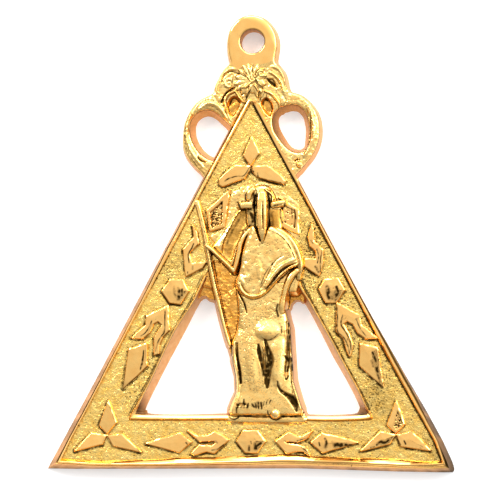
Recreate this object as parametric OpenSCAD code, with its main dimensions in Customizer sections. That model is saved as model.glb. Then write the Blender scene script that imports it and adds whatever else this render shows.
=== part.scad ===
// Cast collar jewel: a pierced triangular plate with raised rims and ornaments, a robed
// bird-headed figure with a staff, a scrolled crest over the apex and a suspension loop.
// One casting. It lies on its back: front face up (+Z), loop towards +Y, length along Y.

/* [Triangle plate] */
// Length of the plate's base edge
base_w = 68; // [62:0.5:76]
// Height of the plate from the base edge to the apex
tri_h = 63.4; // [58:0.2:70]
// Thickness of the plate under its stippled field
field_t = 2.4; // [1.8:0.1:3.2]
// Sideways set of the ornaments and figure from the plate's middle, as cast
axis_x = 0.5; // [0:0.05:1]

/* [Rims] */
// Full width of the outer rim
rim_w = 1.35; // [1:0.05:1.9]
// Height of the rims above the field
rim_rise = 0.9; // [0.5:0.05:1.3]
// Width of the bevel outside the rims' ridge
bevel_w = 0.45; // [0.2:0.05:0.7]
// Width of the rim round the windows
sill_rim_w = 1; // [0.7:0.05:1.4]

/* [Windows] */
// Width of the side bands, square to the plate's edge
band_w = 8.5; // [7.5:0.1:9.5]
// Height of the windows' sill above the base edge
sill_h = 9.2; // [8:0.1:10.4]
// Height of the windows' top above the base edge
window_top = 32; // [28:0.5:35]
// Corner radius of the windows at the sill
window_r = 0.7; // [0.3:0.1:1.2]

/* [Ornaments] */
// Height of the ornaments above the field
relief_h = 0.55; // [0.3:0.05:0.9]
// Length of a trefoil's side leaves
leaf_l = 5.9; // [4.5:0.1:6.5]
// Width of a trefoil's leaves
leaf_w = 2.8; // [2:0.1:3.2]
// Length of the long lozenges at the foot
lozenge_l = 7.6; // [6:0.1:8.5]
// Length of the forked leaves at the foot
low_fork_l = 6.5; // [5.5:0.1:7.2]
// Length of the forked leaves on the side bands
side_fork_l = 8; // [6.5:0.1:8.6]
// Width across corners of the hexagon studs
stud_w = 4.6; // [3.6:0.1:5.2]
// Length of the quarry-shaped studs beside the windows
shard_l = 8; // [6.5:0.1:9]
// Length of the stepped ornaments above the hexagons
step_l = 8.6; // [7:0.1:9.2]
// Length of the quarries beside the head
quarry_l = 7; // [5.5:0.1:7.6]

/* [Figure] */
// Height of the figure from the sill to the top of the hood
fig_h = 38; // [35:0.5:40]
// Width of the figure with its staff
fig_w = 18; // [16:0.5:20]
// Height of the cloak's middle above the field
fig_rise = 3; // [2:0.1:4]
// Height of the bill's ridge above the field
bill_rise = 3.9; // [2.6:0.1:5]
// Thickness of the staff
staff_d = 0.95; // [0.7:0.05:1.4]

/* [Crest and scrolls] */
// Sideways set of the crest, scrolls and loop from the plate's middle, as cast
crest_x = 0.65; // [0:0.05:1]
// Half width of the crest where it meets the scrolls
crest_w = 6.9; // [6:0.1:7.6]
// Height of the crest above the plate's apex
crest_h = 4.9; // [4.4:0.1:6]
// Outer width of one scroll
scroll_w = 10; // [9:0.1:11]
// Outer height of one scroll
scroll_h = 13.4; // [12.6:0.1:14.4]
// Width of the scrolls' raised arms
arm_w = 1.6; // [1.2:0.05:2]
// Width of a scroll's eye
eye_w = 5.7; // [4.8:0.1:6.4]
// Height of a scroll's eye
eye_h = 7.5; // [6.4:0.1:8.4]
// Distance of the scrolls' middle from the crest's axis
scroll_x = 6.8; // [6.3:0.05:7.4]
// Distance of the scrolls' middle below the plate's apex
scroll_drop = 7.7; // [6.4:0.1:8.5]
// Rise of the right scroll over the left one, as cast
scroll_skew = 0.6; // [0:0.1:1.2]
// Height of the scrolls' ridge above their arms
ridge_h = 0.5; // [0.2:0.05:0.8]
// Reach of the rosette's petals
petal_r = 2.7; // [2:0.1:3]

/* [Suspension loop] */
// Outer width of the loop
loop_d = 9; // [8:0.1:10]
// Diameter of the loop's hole
hole_d = 4; // [3:0.1:5]
// Distance of the hole's middle above the plate's apex
hole_up = 8.3; // [7.8:0.1:9.4]
// Thickness of the loop
loop_t = 2.8; // [2.2:0.1:3.6]

/* [Hidden] */

// Corner angle at the apex, halved, and the plate's overall length with the loop
apex_a = atan(base_w / 2 / tri_h);
total_h = tri_h + hole_up + loop_d / 2;

// How deep raised work is rooted in the plate, where those roots start, and how far cuts
// run past a face
root = 0.9;
field_z = field_t - root;
past = 1;

// Sides of the bars' round tops, and steps across a lofted form
roll_sides = 6;
steps = 8;

// Lean of the trefoils' side leaves
droop = 27;

// Width of the loop's neck, and the height of the rosette's middle above the apex
neck_w = loop_d * 0.93;
rosette_y = crest_h * 0.33;

// Half width of the plate at a height above the base edge, its sides moved in by inset
function half_w(y, inset = 0) = (tri_h - inset / sin(apex_a) - y) * tan(apex_a);

// Points of the plate's triangle, all its sides moved in by inset
function tri_pts(inset = 0) = [
    [-half_w(inset, inset), inset], [half_w(inset, inset), inset],
    [0, tri_h - inset / sin(apex_a)]
];

// Points of the opening between the bands, which the figure stands across
function opening_pts(grow = 0) = [
    [-half_w(sill_h - grow, band_w - grow), sill_h - grow],
    [half_w(sill_h - grow, band_w - grow), sill_h - grow],
    [half_w(window_top, band_w - grow), window_top + grow],
    [-half_w(window_top, band_w - grow), window_top + grow]
];

// Points of an ellipse, its two radii given
function ellipse_pts(rx, ry, n = 48) = [
    for (i = [0:n - 1]) [rx * cos(i * 360 / n), ry * sin(i * 360 / n)]
];

// A place on the figure: percent of its half width, and percent of its height from the sill
function on_fig(p) = [p[0] / 100 * fig_w / 2, sill_h + p[1] / 100 * fig_h];

// A place on the plate: percent of its half base, and percent of its height
function on_plate(p) = [p[0] / 100 * base_w / 2, p[1] / 100 * tri_h];

// Outlines as shares of a motif's length, root or head at the origin, length along +X:
// along, across
kite_rows = [[0, 0], [0.3, -1], [1, 0], [0.3, 1]];
fork_rows = [
    [0, 0], [0.37, 0.21], [0.54, 0.12], [0.77, 0.09], [1, 0.22], [0.75, -0.02], [0.37, -0.02],
    [0.28, -0.07], [0.45, -0.14], [0.75, -0.12], [0.97, -0.32], [0.88, -0.37], [0.57, -0.28],
    [0.37, -0.31]
];
// Top corner first, then down the outer side, drawn for the left band
shard_rows = [[0, 0], [-0.35, -0.1], [-0.47, -0.88], [0, -0.44]];
side_fork_rows = [
    [0, 0], [-0.45, -0.19], [-0.47, -0.38], [-0.58, -0.53], [-0.77, -0.66], [-0.54, -0.66],
    [-0.39, -0.56], [-0.3, -0.37], [-0.2, -0.29], [-0.11, -0.36], [-0.27, -0.63],
    [-0.275, -1], [-0.2, -0.96], [-0.19, -0.8], [-0.1, -0.62], [0.03, -0.49]
];
quarry_rows = [[0, 0], [-0.54, -0.5], [-0.45, -0.96], [-0.13, -0.87]];
step_rows = [
    [0, 0], [0, -0.2], [-0.19, -0.46], [-0.14, -0.98], [0.19, -0.84], [0.27, -0.71],
    [-0.04, -0.71], [-0.08, -0.53], [0.09, -0.35], [0.07, -0.12]
];

// Places of the ornaments, mirrored to both sides: percent of half base, percent of height
trefoil_at = [[0, 58.4], [71, 9.2]];
stud_at = [[0, 7.7], [38.5, 46.9]];
lozenge_at = [29.5, 7.3];
low_fork_at = [11.2, 7.9];
side_fork_at = [41.2, 42.9];
shard_at = [53, 33];
step_at = [29.5, 64.4];
quarry_at = [11.5, 73.4];

// The figure's outlines: percent of its half width, percent of its height
backing_rows = [
    [-98, 96], [-86, 62], [-72, 51], [-61, 39], [-50, 28], [-41, 19], [-37, 11], [-42, 6],
    [-52, 1], [-54, -4], [104, -4], [104, 2], [93, 6], [85, 13], [84, 21], [80, 33], [74, 42],
    [74, 50], [88, 60], [84, 78], [40, 96]
];

// The figure's lofted forms: height up the figure, left, right, rise; all percent
robe_rows = [
    [-1.5, -39, 88, 48], [1, -42, 93, 66], [5, -36, 88, 70], [9, -31, 82, 62],
    [14, -30, 76, 60], [20, -32, 76, 66], [26, -34, 75, 74], [32, -35, 72, 84],
    [37, -33, 70, 86], [42, -28, 66, 80], [48, -24, 60, 72], [54, -20, 54, 62]
];
cloak_rows = [
    [50.5, 2, 14, 70], [53, -10, 32, 84], [56, -18, 46, 90], [60, -25, 62, 92],
    [64, -24, 87, 96], [69, -21, 88, 100], [74, -18, 80, 98], [79, -11, 60, 90],
    [82, 0, 40, 78], [84, 12, 36, 62]
];
hood_rows = [
    [81, 2, 42, 52], [86, -4, 54, 58], [90, -12, 60, 62], [93.5, -14, 58, 72],
    [96.5, -8, 46, 76], [99, 6, 38, 66], [100.5, 16, 28, 44]
];
bill_rows = [
    [74.5, 22, 25, 70], [79, 18, 29, 88], [84, 14, 33, 98], [89, 11, 35, 100],
    [94, 10, 35, 98], [97.5, 13, 32, 86], [99, 19, 27, 64]
];

// The figure's rolls: percent across, percent up, percent of the cloak's rise, thickness in
// shares of the staff's
staff_rows = [
    [-100, 95, 28, 1], [-90, 85, 34, 1], [-80, 74, 40, 1], [-70, 62, 44, 1],
    [-59, 50, 42, 1], [-49, 39, 34, 0.95], [-39, 29, 26, 0.8]
];
arm_rows = [
    [-82, 75, 52, 1.2], [-76, 73, 58, 1.9], [-64, 70.5, 60, 1.6], [-50, 67, 64, 1.8],
    [-33, 63, 66, 2.2], [-25, 66, 72, 2.2], [-19, 71.5, 76, 2.4], [-12, 77, 74, 2.4],
    [2, 81.5, 66, 1.6]
];
hem_roll_rows = [
    [-20, 58, 70, 1], [-13, 55, 80, 1.2], [-3, 52, 84, 1.4], [10, 50.8, 86, 1.4],
    [25, 52.6, 88, 1.3], [38, 55.4, 90, 1.2], [50, 59, 86, 1.2], [65, 63, 74, 1.1],
    [82, 66, 52, 0.9]
];
sash_rows = [
    [84, 61.5, 44, 1.1], [73, 58.5, 54, 1.5], [65, 53.5, 52, 1.5], [59, 48, 46, 1.3],
    [54, 44.5, 36, 0.8]
];
shawl_rows = [[-20, 91.5, 50, 1], [-8, 92, 60, 1.5], [4, 91.6, 54, 1]];
shawl_right_rows = [[39, 92, 52, 1], [50, 91.6, 62, 1.5], [61, 92.3, 48, 0.9]];

// The crest's rolls: percent of its half width, percent of its height, rise and thickness in
// shares of the scrolls' ridge and arm
lobe_rows = [
    [34, 108, 1, 0.55], [62, 90, 1.3, 0.6], [80, 55, 1.4, 0.6], [88, 15, 1.3, 0.6],
    [90, -22, 1, 0.5]
];
curl_rows = [
    [38, 40, 1, 0.5], [48, 62, 1.4, 0.55], [62, 60, 1.5, 0.55], [68, 34, 1.4, 0.5],
    [58, 14, 1.2, 0.5], [46, 18, 1, 0.45]
];
stem_rows = [
    [20, -2, 1, 0.5], [34, -20, 1.3, 0.5], [46, -48, 1.3, 0.5], [56, -84, 1.2, 0.45],
    [58, -118, 0.9, 0.4]
];

// The rosette's rings: share of its reach, rise and rise of the petals' ridges over it, both
// in shares of the scrolls' ridge; a rise under 0 is the root
petals = 12;
rosette_rows = [
    [1.04, -1, 0], [1, 0.7, 0.2], [0.85, 1.3, 0.5], [0.5, 1.1, 0.4], [0.28, 0.8, 0.1],
    [0.24, 1.7, 0], [0.1, 2, 0]
];

// A form through rings of equal count, closed at both ends
module loft(rings) {
    m = len(rings[0]);
    last = len(rings) - 1;
    polyhedron(
        points = [for (ring = rings) each ring],
        faces = concat(
            [[for (j = [0:m - 1]) j]],
            [for (i = [0:last - 1], j = [0:m - 1])
                [i * m + j, (i + 1) * m + j, (i + 1) * m + (j + 1) % m, i * m + (j + 1) % m]],
            [[for (j = [m - 1:-1:0]) last * m + j]]
        )
    );
}

// A rounded form over rows of height up the figure, left, right and rise, rooted in the plate
module swell(rows, rise) {
    loft([for (row = rows)
        let (l = on_fig([row[1], row[0]]), r = on_fig([row[2], row[0]]), top = row[3] / 100 * rise)
        concat(
            [[l[0], l[1], field_z]],
            [for (i = [0:steps])
                let (u = 2 * i / steps - 1, bow = pow(1 - pow(abs(u), 2.4), 0.5))
                [(l[0] + r[0]) / 2 + u * (r[0] - l[0]) / 2, l[1], field_t + top * (0.3 + 0.7 * bow)]],
            [[r[0], l[1], field_z]]
        )]);
}

// A bar through points, a row of radii beside them: round on top, with straight sides down
// to its root, as a cast bar leaves its mould
module roll(pts, radii) {
    last = len(pts) - 1;
    loft([for (i = [0:last])
        let (
            ahead = pts[min(i + 1, last)] - pts[max(i - 1, 0)],
            side = [ahead[1], -ahead[0], 0] / norm([ahead[0], ahead[1]]),
            edge = radii[i] * side
        )
        concat(
            [[pts[i][0] - edge[0], pts[i][1] - edge[1], field_z]],
            [for (j = [0:roll_sides])
                let (a = j * 180 / roll_sides)
                pts[i] - cos(a) * edge + [0, 0, sin(a) * radii[i]]],
            [[pts[i][0] + edge[0], pts[i][1] + edge[1], field_z]]
        )]);
}

// A roll on the figure, from rows of percent across, percent up, percent of rise, thickness
module fig_roll(rows) {
    roll(
        [for (row = rows) [each on_fig(row), field_t + row[2] / 100 * fig_rise]],
        [for (row = rows) row[3] * staff_d / 2]
    );
}

// A roll on the crest's right or left half
module crest_roll(rows, side) {
    roll(
        [for (row = rows) [
            side * row[0] / 100 * crest_w, tri_h + row[1] / 100 * crest_h,
            field_t + ridge_h * (row[2] - 1) / 2
        ]],
        [for (row = rows) row[3] * arm_w / 2]
    );
}

// The plate's outline with crest, scrolls and loop, but without the openings
module outline() {
    polygon(tri_pts());
    translate([crest_x, 0]) {
        crest_outline();
        for (side = [-1, 1]) scroll_place(side) polygon(ellipse_pts(scroll_w / 2, scroll_h / 2));
        translate([0, tri_h + hole_up]) circle(d = loop_d, $fn = 96);
        translate([-neck_w / 2, tri_h + crest_h - past]) square([neck_w, hole_up - crest_h + past]);
    }
}

// The crest's outline: a dome that widens down to the scrolls
module crest_outline() {
    polygon([
        [-crest_w * 0.5, tri_h - crest_h * 1.5], [-crest_w, tri_h - crest_h * 0.5],
        [-crest_w, tri_h], [-crest_w * 0.87, tri_h + crest_h * 0.43],
        [-crest_w * 0.73, tri_h + crest_h * 0.8], [-crest_w * 0.58, tri_h + crest_h],
        [crest_w * 0.58, tri_h + crest_h], [crest_w * 0.73, tri_h + crest_h * 0.8],
        [crest_w * 0.87, tri_h + crest_h * 0.43], [crest_w, tri_h],
        [crest_w, tri_h - crest_h * 0.5], [crest_w * 0.5, tri_h - crest_h * 1.5]
    ]);
}

// Puts a shape on the middle of the left (-1) or right (1) scroll
module scroll_place(side) {
    translate([side * scroll_x, tri_h - scroll_drop + max(side, 0) * scroll_skew]) children();
}

// The eye of a scroll, which the plate's own edge closes on the inside
module scroll_eye(side) {
    scroll_place(side) polygon(ellipse_pts(eye_w / 2, eye_h / 2));
}

// The part of the casting behind all raised work
module plate() {
    linear_extrude(field_t) {
        difference() {
            outline();
            translate([axis_x, 0]) windows();
            difference() {
                translate([crest_x, 0]) for (side = [-1, 1]) scroll_eye(side);
                polygon(tri_pts());
            }
        }
    }
}

// The two windows, left over beside the figure's backing, with round corners
module windows() {
    offset(r = window_r, $fn = 24) offset(delta = -window_r) difference() {
        polygon(opening_pts());
        backing();
    }
}

// The web behind the figure and its staff
module backing() {
    polygon([for (row = backing_rows) on_fig(row)]);
}

// Rims: the outer ridge on its bevel, and the rims round the windows
module rims() {
    translate([0, 0, field_z]) {
        linear_extrude(root + rim_rise * 0.6) difference() {
            polygon(tri_pts(bevel_w / 3));
            polygon(tri_pts(rim_w));
        }
        linear_extrude(root + rim_rise) difference() {
            polygon(tri_pts(bevel_w));
            polygon(tri_pts(rim_w - bevel_w / 3));
        }
        translate([axis_x, 0, 0]) linear_extrude(root + rim_rise * 0.8) difference() {
            polygon(opening_pts(sill_rim_w));
            polygon(opening_pts(bevel_w / 3));
            translate([-base_w / 2, window_top - bevel_w]) square([base_w, tri_h]);
        }
    }
}

// A raised flat motif
module raised(pts) {
    translate([0, 0, field_z]) linear_extrude(root + relief_h) polygon(pts);
}

// One leaf or lozenge, its length and width given
module kite(l, w) {
    raised([for (row = kite_rows) [row[0] * l, row[1] * w / 2]]);
}

// Three leaves round one middle, one up and two drooping, apart by a gap at their roots
module trefoil() {
    gap = leaf_w * 0.12;
    translate([0, gap, 0]) rotate(90) kite(leaf_l * 0.85, leaf_w);
    for (a = [-droop, 180 + droop]) rotate(a) translate([gap, 0, 0]) kite(leaf_l, leaf_w * 0.9);
}

// A motif from its rows, scaled to a length, mirrored to the left for side -1
module motif(rows, l, side) {
    raised([for (row = rows) [side * row[0] * l, row[1] * l]]);
}

// All ornaments on the bands
module ornaments() {
    translate(on_plate(trefoil_at[0])) trefoil();
    translate(on_plate(stud_at[0])) stud();
    for (side = [-1, 1]) {
        place(trefoil_at[1], side) trefoil();
        place(stud_at[1], side) stud();
        place(lozenge_at, side) rotate(side > 0 ? 0 : 180) kite(lozenge_l, leaf_w * 1.1);
        place(low_fork_at, side) motif(fork_rows, low_fork_l, side);
        place(side_fork_at, side) motif(side_fork_rows, side_fork_l, -side);
        place(shard_at, side) motif(shard_rows, shard_l, -side);
        place(step_at, side) motif(step_rows, step_l, -side);
        place(quarry_at, side) motif(quarry_rows, quarry_l, -side);
    }
}

// Puts a motif at its place on the left (-1) or right (1) band
module place(at, side) {
    translate([side * on_plate(at)[0], on_plate(at)[1], 0]) children();
}

// A six-sided stud
module stud() {
    translate([0, 0, field_z]) cylinder(d = stud_w, h = root + relief_h, $fn = 6);
}

// The robed figure: robe, cloak, hood and bill, with staff, arm, hem, sash and a bead
module figure() {
    swell(robe_rows, fig_rise);
    swell(cloak_rows, fig_rise);
    swell(hood_rows, fig_rise);
    swell(bill_rows, bill_rise);
    for (rows = [staff_rows, arm_rows, hem_roll_rows, sash_rows, shawl_rows, shawl_right_rows])
        fig_roll(rows);
    translate([each on_fig([45, 0.7]), field_t + fig_rise * 0.35]) sphere(d = staff_d * 1.7, $fn = 12);
}

// The crest's relief: lobes, curls, stems and the rosette
module crest_relief() {
    for (side = [-1, 1]) {
        crest_roll(lobe_rows, side);
        crest_roll(curl_rows, side);
        crest_roll(stem_rows, side);
    }
    translate([0, tri_h + rosette_y, 0]) rosette();
}

// A rosette of ridged petals round a button, its lower petals shorter
module rosette() {
    loft([for (row = rosette_rows)
        [for (j = [0:petals * 4 - 1])
            let (
                a = j * 90 / petals,
                wave = cos(a * petals),
                r = row[0] * petal_r * (0.89 + 0.11 * sin(a)) * (1 + 0.06 * wave)
            )
            [r * cos(a), r * sin(a), row[1] < 0 ? field_z : field_t + ridge_h * (row[1] + row[2] * wave)]]]);
}

// The ridges along the scrolls' arms
module scroll_ridges() {
    translate([0, 0, field_z]) linear_extrude(root + ridge_h) difference() {
        for (side = [-1, 1]) scroll_place(side) difference() {
            polygon(ellipse_pts(scroll_w / 2 - arm_w * 0.28, scroll_h / 2 - arm_w * 0.28));
            polygon(ellipse_pts(scroll_w / 2 - arm_w * 0.75, scroll_h / 2 - arm_w));
        }
        translate([-crest_x, 0]) polygon(tri_pts(-bevel_w));
        translate([-crest_w * 0.92, tri_h - crest_h * 1.5]) square([crest_w * 1.84, crest_h * 3]);
    }
}

// The loop's raised face
module loop_face() {
    translate([0, 0, field_z]) linear_extrude(loop_t - field_z) difference() {
        union() {
            translate([0, tri_h + hole_up]) circle(d = loop_d - bevel_w, $fn = 96);
            translate([bevel_w - neck_w / 2, tri_h + crest_h * 0.9])
                square([neck_w - 2 * bevel_w, hole_up - crest_h * 0.9]);
        }
        translate([0, tri_h + rosette_y]) circle(r = petal_r * 1.15, $fn = 48);
    }
}

// The whole casting, its middle at the origin and its back on the ground
module jewel() {
    color("gold") translate([0, -total_h / 2, 0]) difference() {
        union() {
            plate();
            rims();
            translate([axis_x, 0, 0]) ornaments();
            translate([crest_x, 0, 0]) {
                scroll_ridges();
                loop_face();
            }
            // Lofted work is merged as one mesh before it joins the plate
            resize([0, 0, 0]) union() {
                translate([axis_x, 0, 0]) figure();
                translate([crest_x, 0, 0]) crest_relief();
            }
        }
        translate([crest_x, tri_h + hole_up, -past])
            cylinder(d = hole_d, h = loop_t + 2 * past, $fn = 96);
    }
}

jewel();
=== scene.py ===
"""A cast and gilt collar jewel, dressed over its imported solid.

The casting is worked up as surfaces: a stippled field, mouldings for the rims, faceted
ornaments, the robed figure with its staff, and the crest with its scrolls and loop.
"""
import math

import bmesh
import bpy
import numpy as np
from mathutils import Matrix, Vector
from mathutils.geometry import delaunay_2d_cdt


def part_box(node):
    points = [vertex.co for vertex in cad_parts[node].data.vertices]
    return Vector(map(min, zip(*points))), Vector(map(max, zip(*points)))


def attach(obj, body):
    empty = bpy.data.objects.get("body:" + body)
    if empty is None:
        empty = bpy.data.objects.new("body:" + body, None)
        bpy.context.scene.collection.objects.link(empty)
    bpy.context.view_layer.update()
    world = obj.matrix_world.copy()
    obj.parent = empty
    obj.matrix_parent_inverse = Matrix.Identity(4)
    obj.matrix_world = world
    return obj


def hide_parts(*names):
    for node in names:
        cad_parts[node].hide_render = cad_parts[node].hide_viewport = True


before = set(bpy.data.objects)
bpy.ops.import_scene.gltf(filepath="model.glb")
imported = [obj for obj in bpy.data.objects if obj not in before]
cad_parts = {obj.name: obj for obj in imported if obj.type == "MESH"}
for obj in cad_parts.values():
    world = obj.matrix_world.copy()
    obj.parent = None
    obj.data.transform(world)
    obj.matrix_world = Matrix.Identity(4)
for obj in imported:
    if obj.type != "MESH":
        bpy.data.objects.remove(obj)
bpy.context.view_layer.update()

MM = 0.001
LOW, HIGH = (np.array(corner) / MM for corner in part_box("jewel"))
# The stippled field's height, and the photograph's width and height in pixels
FIELD = 2.4
PHOTO = 500
# A grid point this share of a step outside an outline is still kept
SNAP = 0.3
# How deep a crease is, as a slope, where painted shade begins in it, and over what more it deepens to full
CREASE_FROM, CREASE_OVER = 0.04, 0.3
# The painted shade at a wall's top where nothing else is said, and how much of it is gone at the foot
WALL_PAINTED_SHADE, WALL_FADE = 0.15, 0.7
# A piece's finishes by number: its own, as cast with painted shade on its walls and back, a deep orange
# painted for light bounced between gold walls, one more
OWN, AS_CAST_SHADED, BOUNCE_TINTED, OTHER = range(4)
# How many random values a ripple has each way before it repeats
LATTICE = 89
# How many pairs of a point and a stretch are worked out at once
BATCH = 2000000

# The camera: almost square on, a little to the right of the jewel and below it
AIM = np.array([0.25, -1.5, 3.0])
REACH = 395.3
LEAN_RIGHT, LEAN_DOWN = math.radians(6.0), math.radians(4.5)
LENS, SENSOR = 172.8, 36.0
TOWARD = np.array([math.tan(LEAN_RIGHT), -math.tan(LEAN_DOWN), 1.0])
TOWARD /= np.linalg.norm(TOWARD)
RIGHT = np.cross([0.0, 1.0, 0.0], TOWARD)
RIGHT /= np.linalg.norm(RIGHT)
UP = np.cross(TOWARD, RIGHT)


def at(points, z=FIELD):
    """Places read off the photograph, as millimetres on the jewel: each sight line from the
    camera is cut by the level plane at height z."""
    p = np.asarray(points, float)
    z = np.broadcast_to(np.asarray(z, float), p.shape[:-1])[..., None]
    focal = LENS / SENSOR * PHOTO
    ray = RIGHT * (p[..., :1] - PHOTO / 2) / focal + UP * (PHOTO / 2 - p[..., 1:]) / focal - TOWARD
    eye = AIM + REACH * TOWARD
    return (eye + ray * (z - eye[2]) / ray[..., 2:])[..., :2]


def distance(p, place, z=FIELD):
    """Distance from points to one place in the photograph, cut at height z."""
    return np.linalg.norm(p - at(place, z), axis=1)


# Lines and distances in the plane
def spline(points, count, closed=False):
    """A smooth line through given points: each stretch is the cubic that leaves a point along
    the chord of its two neighbours; count points are then spaced evenly along it."""
    p = np.asarray(points, float)
    if closed:
        ring = np.vstack([p[-1:], p, p[:2]])
    else:
        ring = np.vstack([2 * p[0] - p[1], p, 2 * p[-1] - p[-2]])
    a, b, c, d = ring[:-3], ring[1:-2], ring[2:-1], ring[3:]
    t = np.linspace(0, 1, 16, endpoint=False)[None, :, None]
    a, b, c, d = (q[:, None] for q in (a, b, c, d))
    fine = 0.5 * (2 * b + (c - a) * t + (2 * a - 5 * b + 4 * c - d) * t ** 2
                  + (3 * b - a - 3 * c + d) * t ** 3)
    fine = np.vstack([fine.reshape(-1, p.shape[1]), p[:1] if closed else p[-1:]])
    return evenly(fine, count, closed)


def smooth_ring(points, z, count):
    """A smooth closed outline through places in the photograph, cut at height z."""
    return spline(at(points, z), count, closed=True)


def box_round(line, margin):
    """The box round a line, with a margin: left, bottom, right and top."""
    return (*(line.min(0) - margin), *(line.max(0) + margin))


def evenly(line, count, closed=False):
    """count points spaced evenly along a line of straight stretches."""
    run = np.concatenate([[0], np.cumsum(np.linalg.norm(np.diff(line[:, :2], axis=0), axis=1))])
    where = np.linspace(0, run[-1], count + 1)[:-1] if closed else np.linspace(0, run[-1], count)
    return np.stack([np.interp(where, run, line[:, k]) for k in range(line.shape[1])], 1)


def to_segments(p, start, end):
    """Squared distance from points to each stretch, and how far along it the nearest place is."""
    along = end - start
    reach = p[:, None] - start[None]
    t = np.clip((reach * along).sum(-1) / np.maximum((along ** 2).sum(-1), 1e-12), 0, 1)
    return ((reach - t[..., None] * along) ** 2).sum(-1), t


def enclosed(q, start, end):
    """Whether points lie inside closed lines given by their stretches, by the even-odd rule."""
    above = (start[:, 1] > q[:, 1:]) != (end[:, 1] > q[:, 1:])
    rise = np.where(end[:, 1] == start[:, 1], 1, end[:, 1] - start[:, 1])
    cross = start[:, 0] + (q[:, 1:] - start[:, 1]) * (end[:, 0] - start[:, 0]) / rise
    return (above & (q[:, :1] < cross)).sum(1) % 2 == 1


def signed(p, outline, far=4.0):
    """Distance from points to a closed outline, negative inside it. Points more than far
    outside its box get far."""
    out = np.full(len(p), float(far))
    low, high = outline.min(0) - far, outline.max(0) + far
    near = np.where(((p > low) & (p < high)).all(1))[0]
    end = np.roll(outline, -1, 0)
    for part in np.array_split(near, max(1, len(near) * len(outline) // BATCH + 1)):
        q = p[part]
        square, _ = to_segments(q, outline, end)
        out[part] = np.sqrt(square.min(1)) * np.where(enclosed(q, outline, end), -1, 1)
    return out


def beside(p, line, far=2.0):
    """Distance from points to an open line, and the share of its length at the nearest place."""
    away, share = np.full(len(p), float(far)), np.zeros(len(p))
    low, high = line.min(0) - far, line.max(0) + far
    near = np.where(((p > low) & (p < high)).all(1))[0]
    if len(near):
        run = np.linalg.norm(np.diff(line, axis=0), axis=1)
        begun = np.concatenate([[0], np.cumsum(run)])
        square, t = to_segments(p[near], line[:-1], line[1:])
        best = square.argmin(1)
        row = np.arange(len(near))
        away[near] = np.sqrt(square[row, best])
        share[near] = (begun[best] + t[row, best] * run[best]) / begun[-1]
    return away, share


def ease(t):
    """A smooth step from 0 to 1."""
    t = np.clip(t, 0, 1)
    return t * t * (3 - 2 * t)


def dome(t):
    """A quarter round: steep at 0, level at 1."""
    return np.sqrt(1 - (1 - np.clip(t, 0, 1)) ** 2)


def hump(t):
    """A round hump: 1 at 0, down to 0 at 1 either way."""
    return np.clip(1 - t ** 2, 0, None)


def bell(t):
    """1 at 0, thinning out smoothly either way: exp(-t * t)."""
    return np.exp(-t ** 2)


def blend_up(a, b, soft=0.12):
    """The higher of two heights, with the crease between them filled by a small radius."""
    near = np.clip(soft - abs(a - b), 0, None) / soft
    return np.maximum(a, b) + near * near * soft / 4


def ripple(p, wave, seed):
    """A level random swell within plus or minus 1: random values on a square lattice, wave
    millimetres apart and turned by a random angle, joined by smooth steps."""
    rng = np.random.default_rng(seed)
    table, turn = rng.uniform(-1, 1, (LATTICE, LATTICE)), rng.uniform(0, math.pi)
    q = p @ np.array([[math.cos(turn), math.sin(turn)], [-math.sin(turn), math.cos(turn)]]) / wave
    cell = np.floor(q).astype(int)
    u, v = ease(q - cell).T
    i, j = cell.T
    a, b, c, d = (table[(i + m) % LATTICE, (j + n) % LATTICE] for n in (0, 1) for m in (0, 1))
    return (a * (1 - u) + b * u) * (1 - v) + (c * (1 - u) + d * u) * v


def skin(p, seed, coarse, fine):
    """The uneven skin of a casting: swells 1.3 and 0.6 mm long and a grain of 0.27 mm."""
    swell = ripple(p, 1.3, seed) + 0.7 * ripple(p, 0.6, seed + 1)
    return coarse * swell + fine * ripple(p, 0.27, seed + 2)


def pits(p, centres, radius, depth):
    """Round dents: each sinks as a smooth bowl of its own radius and depth."""
    sunk = np.zeros(len(p))
    for c, r, d in zip(centres, radius, depth):
        near = np.where((abs(p - c) < r).all(1))[0]
        fall = np.clip(1 - ((p[near] - c) ** 2).sum(1) / r ** 2, 0, 1)
        sunk[near] = np.minimum(sunk[near], -d * fall ** 2)
    return sunk


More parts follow.
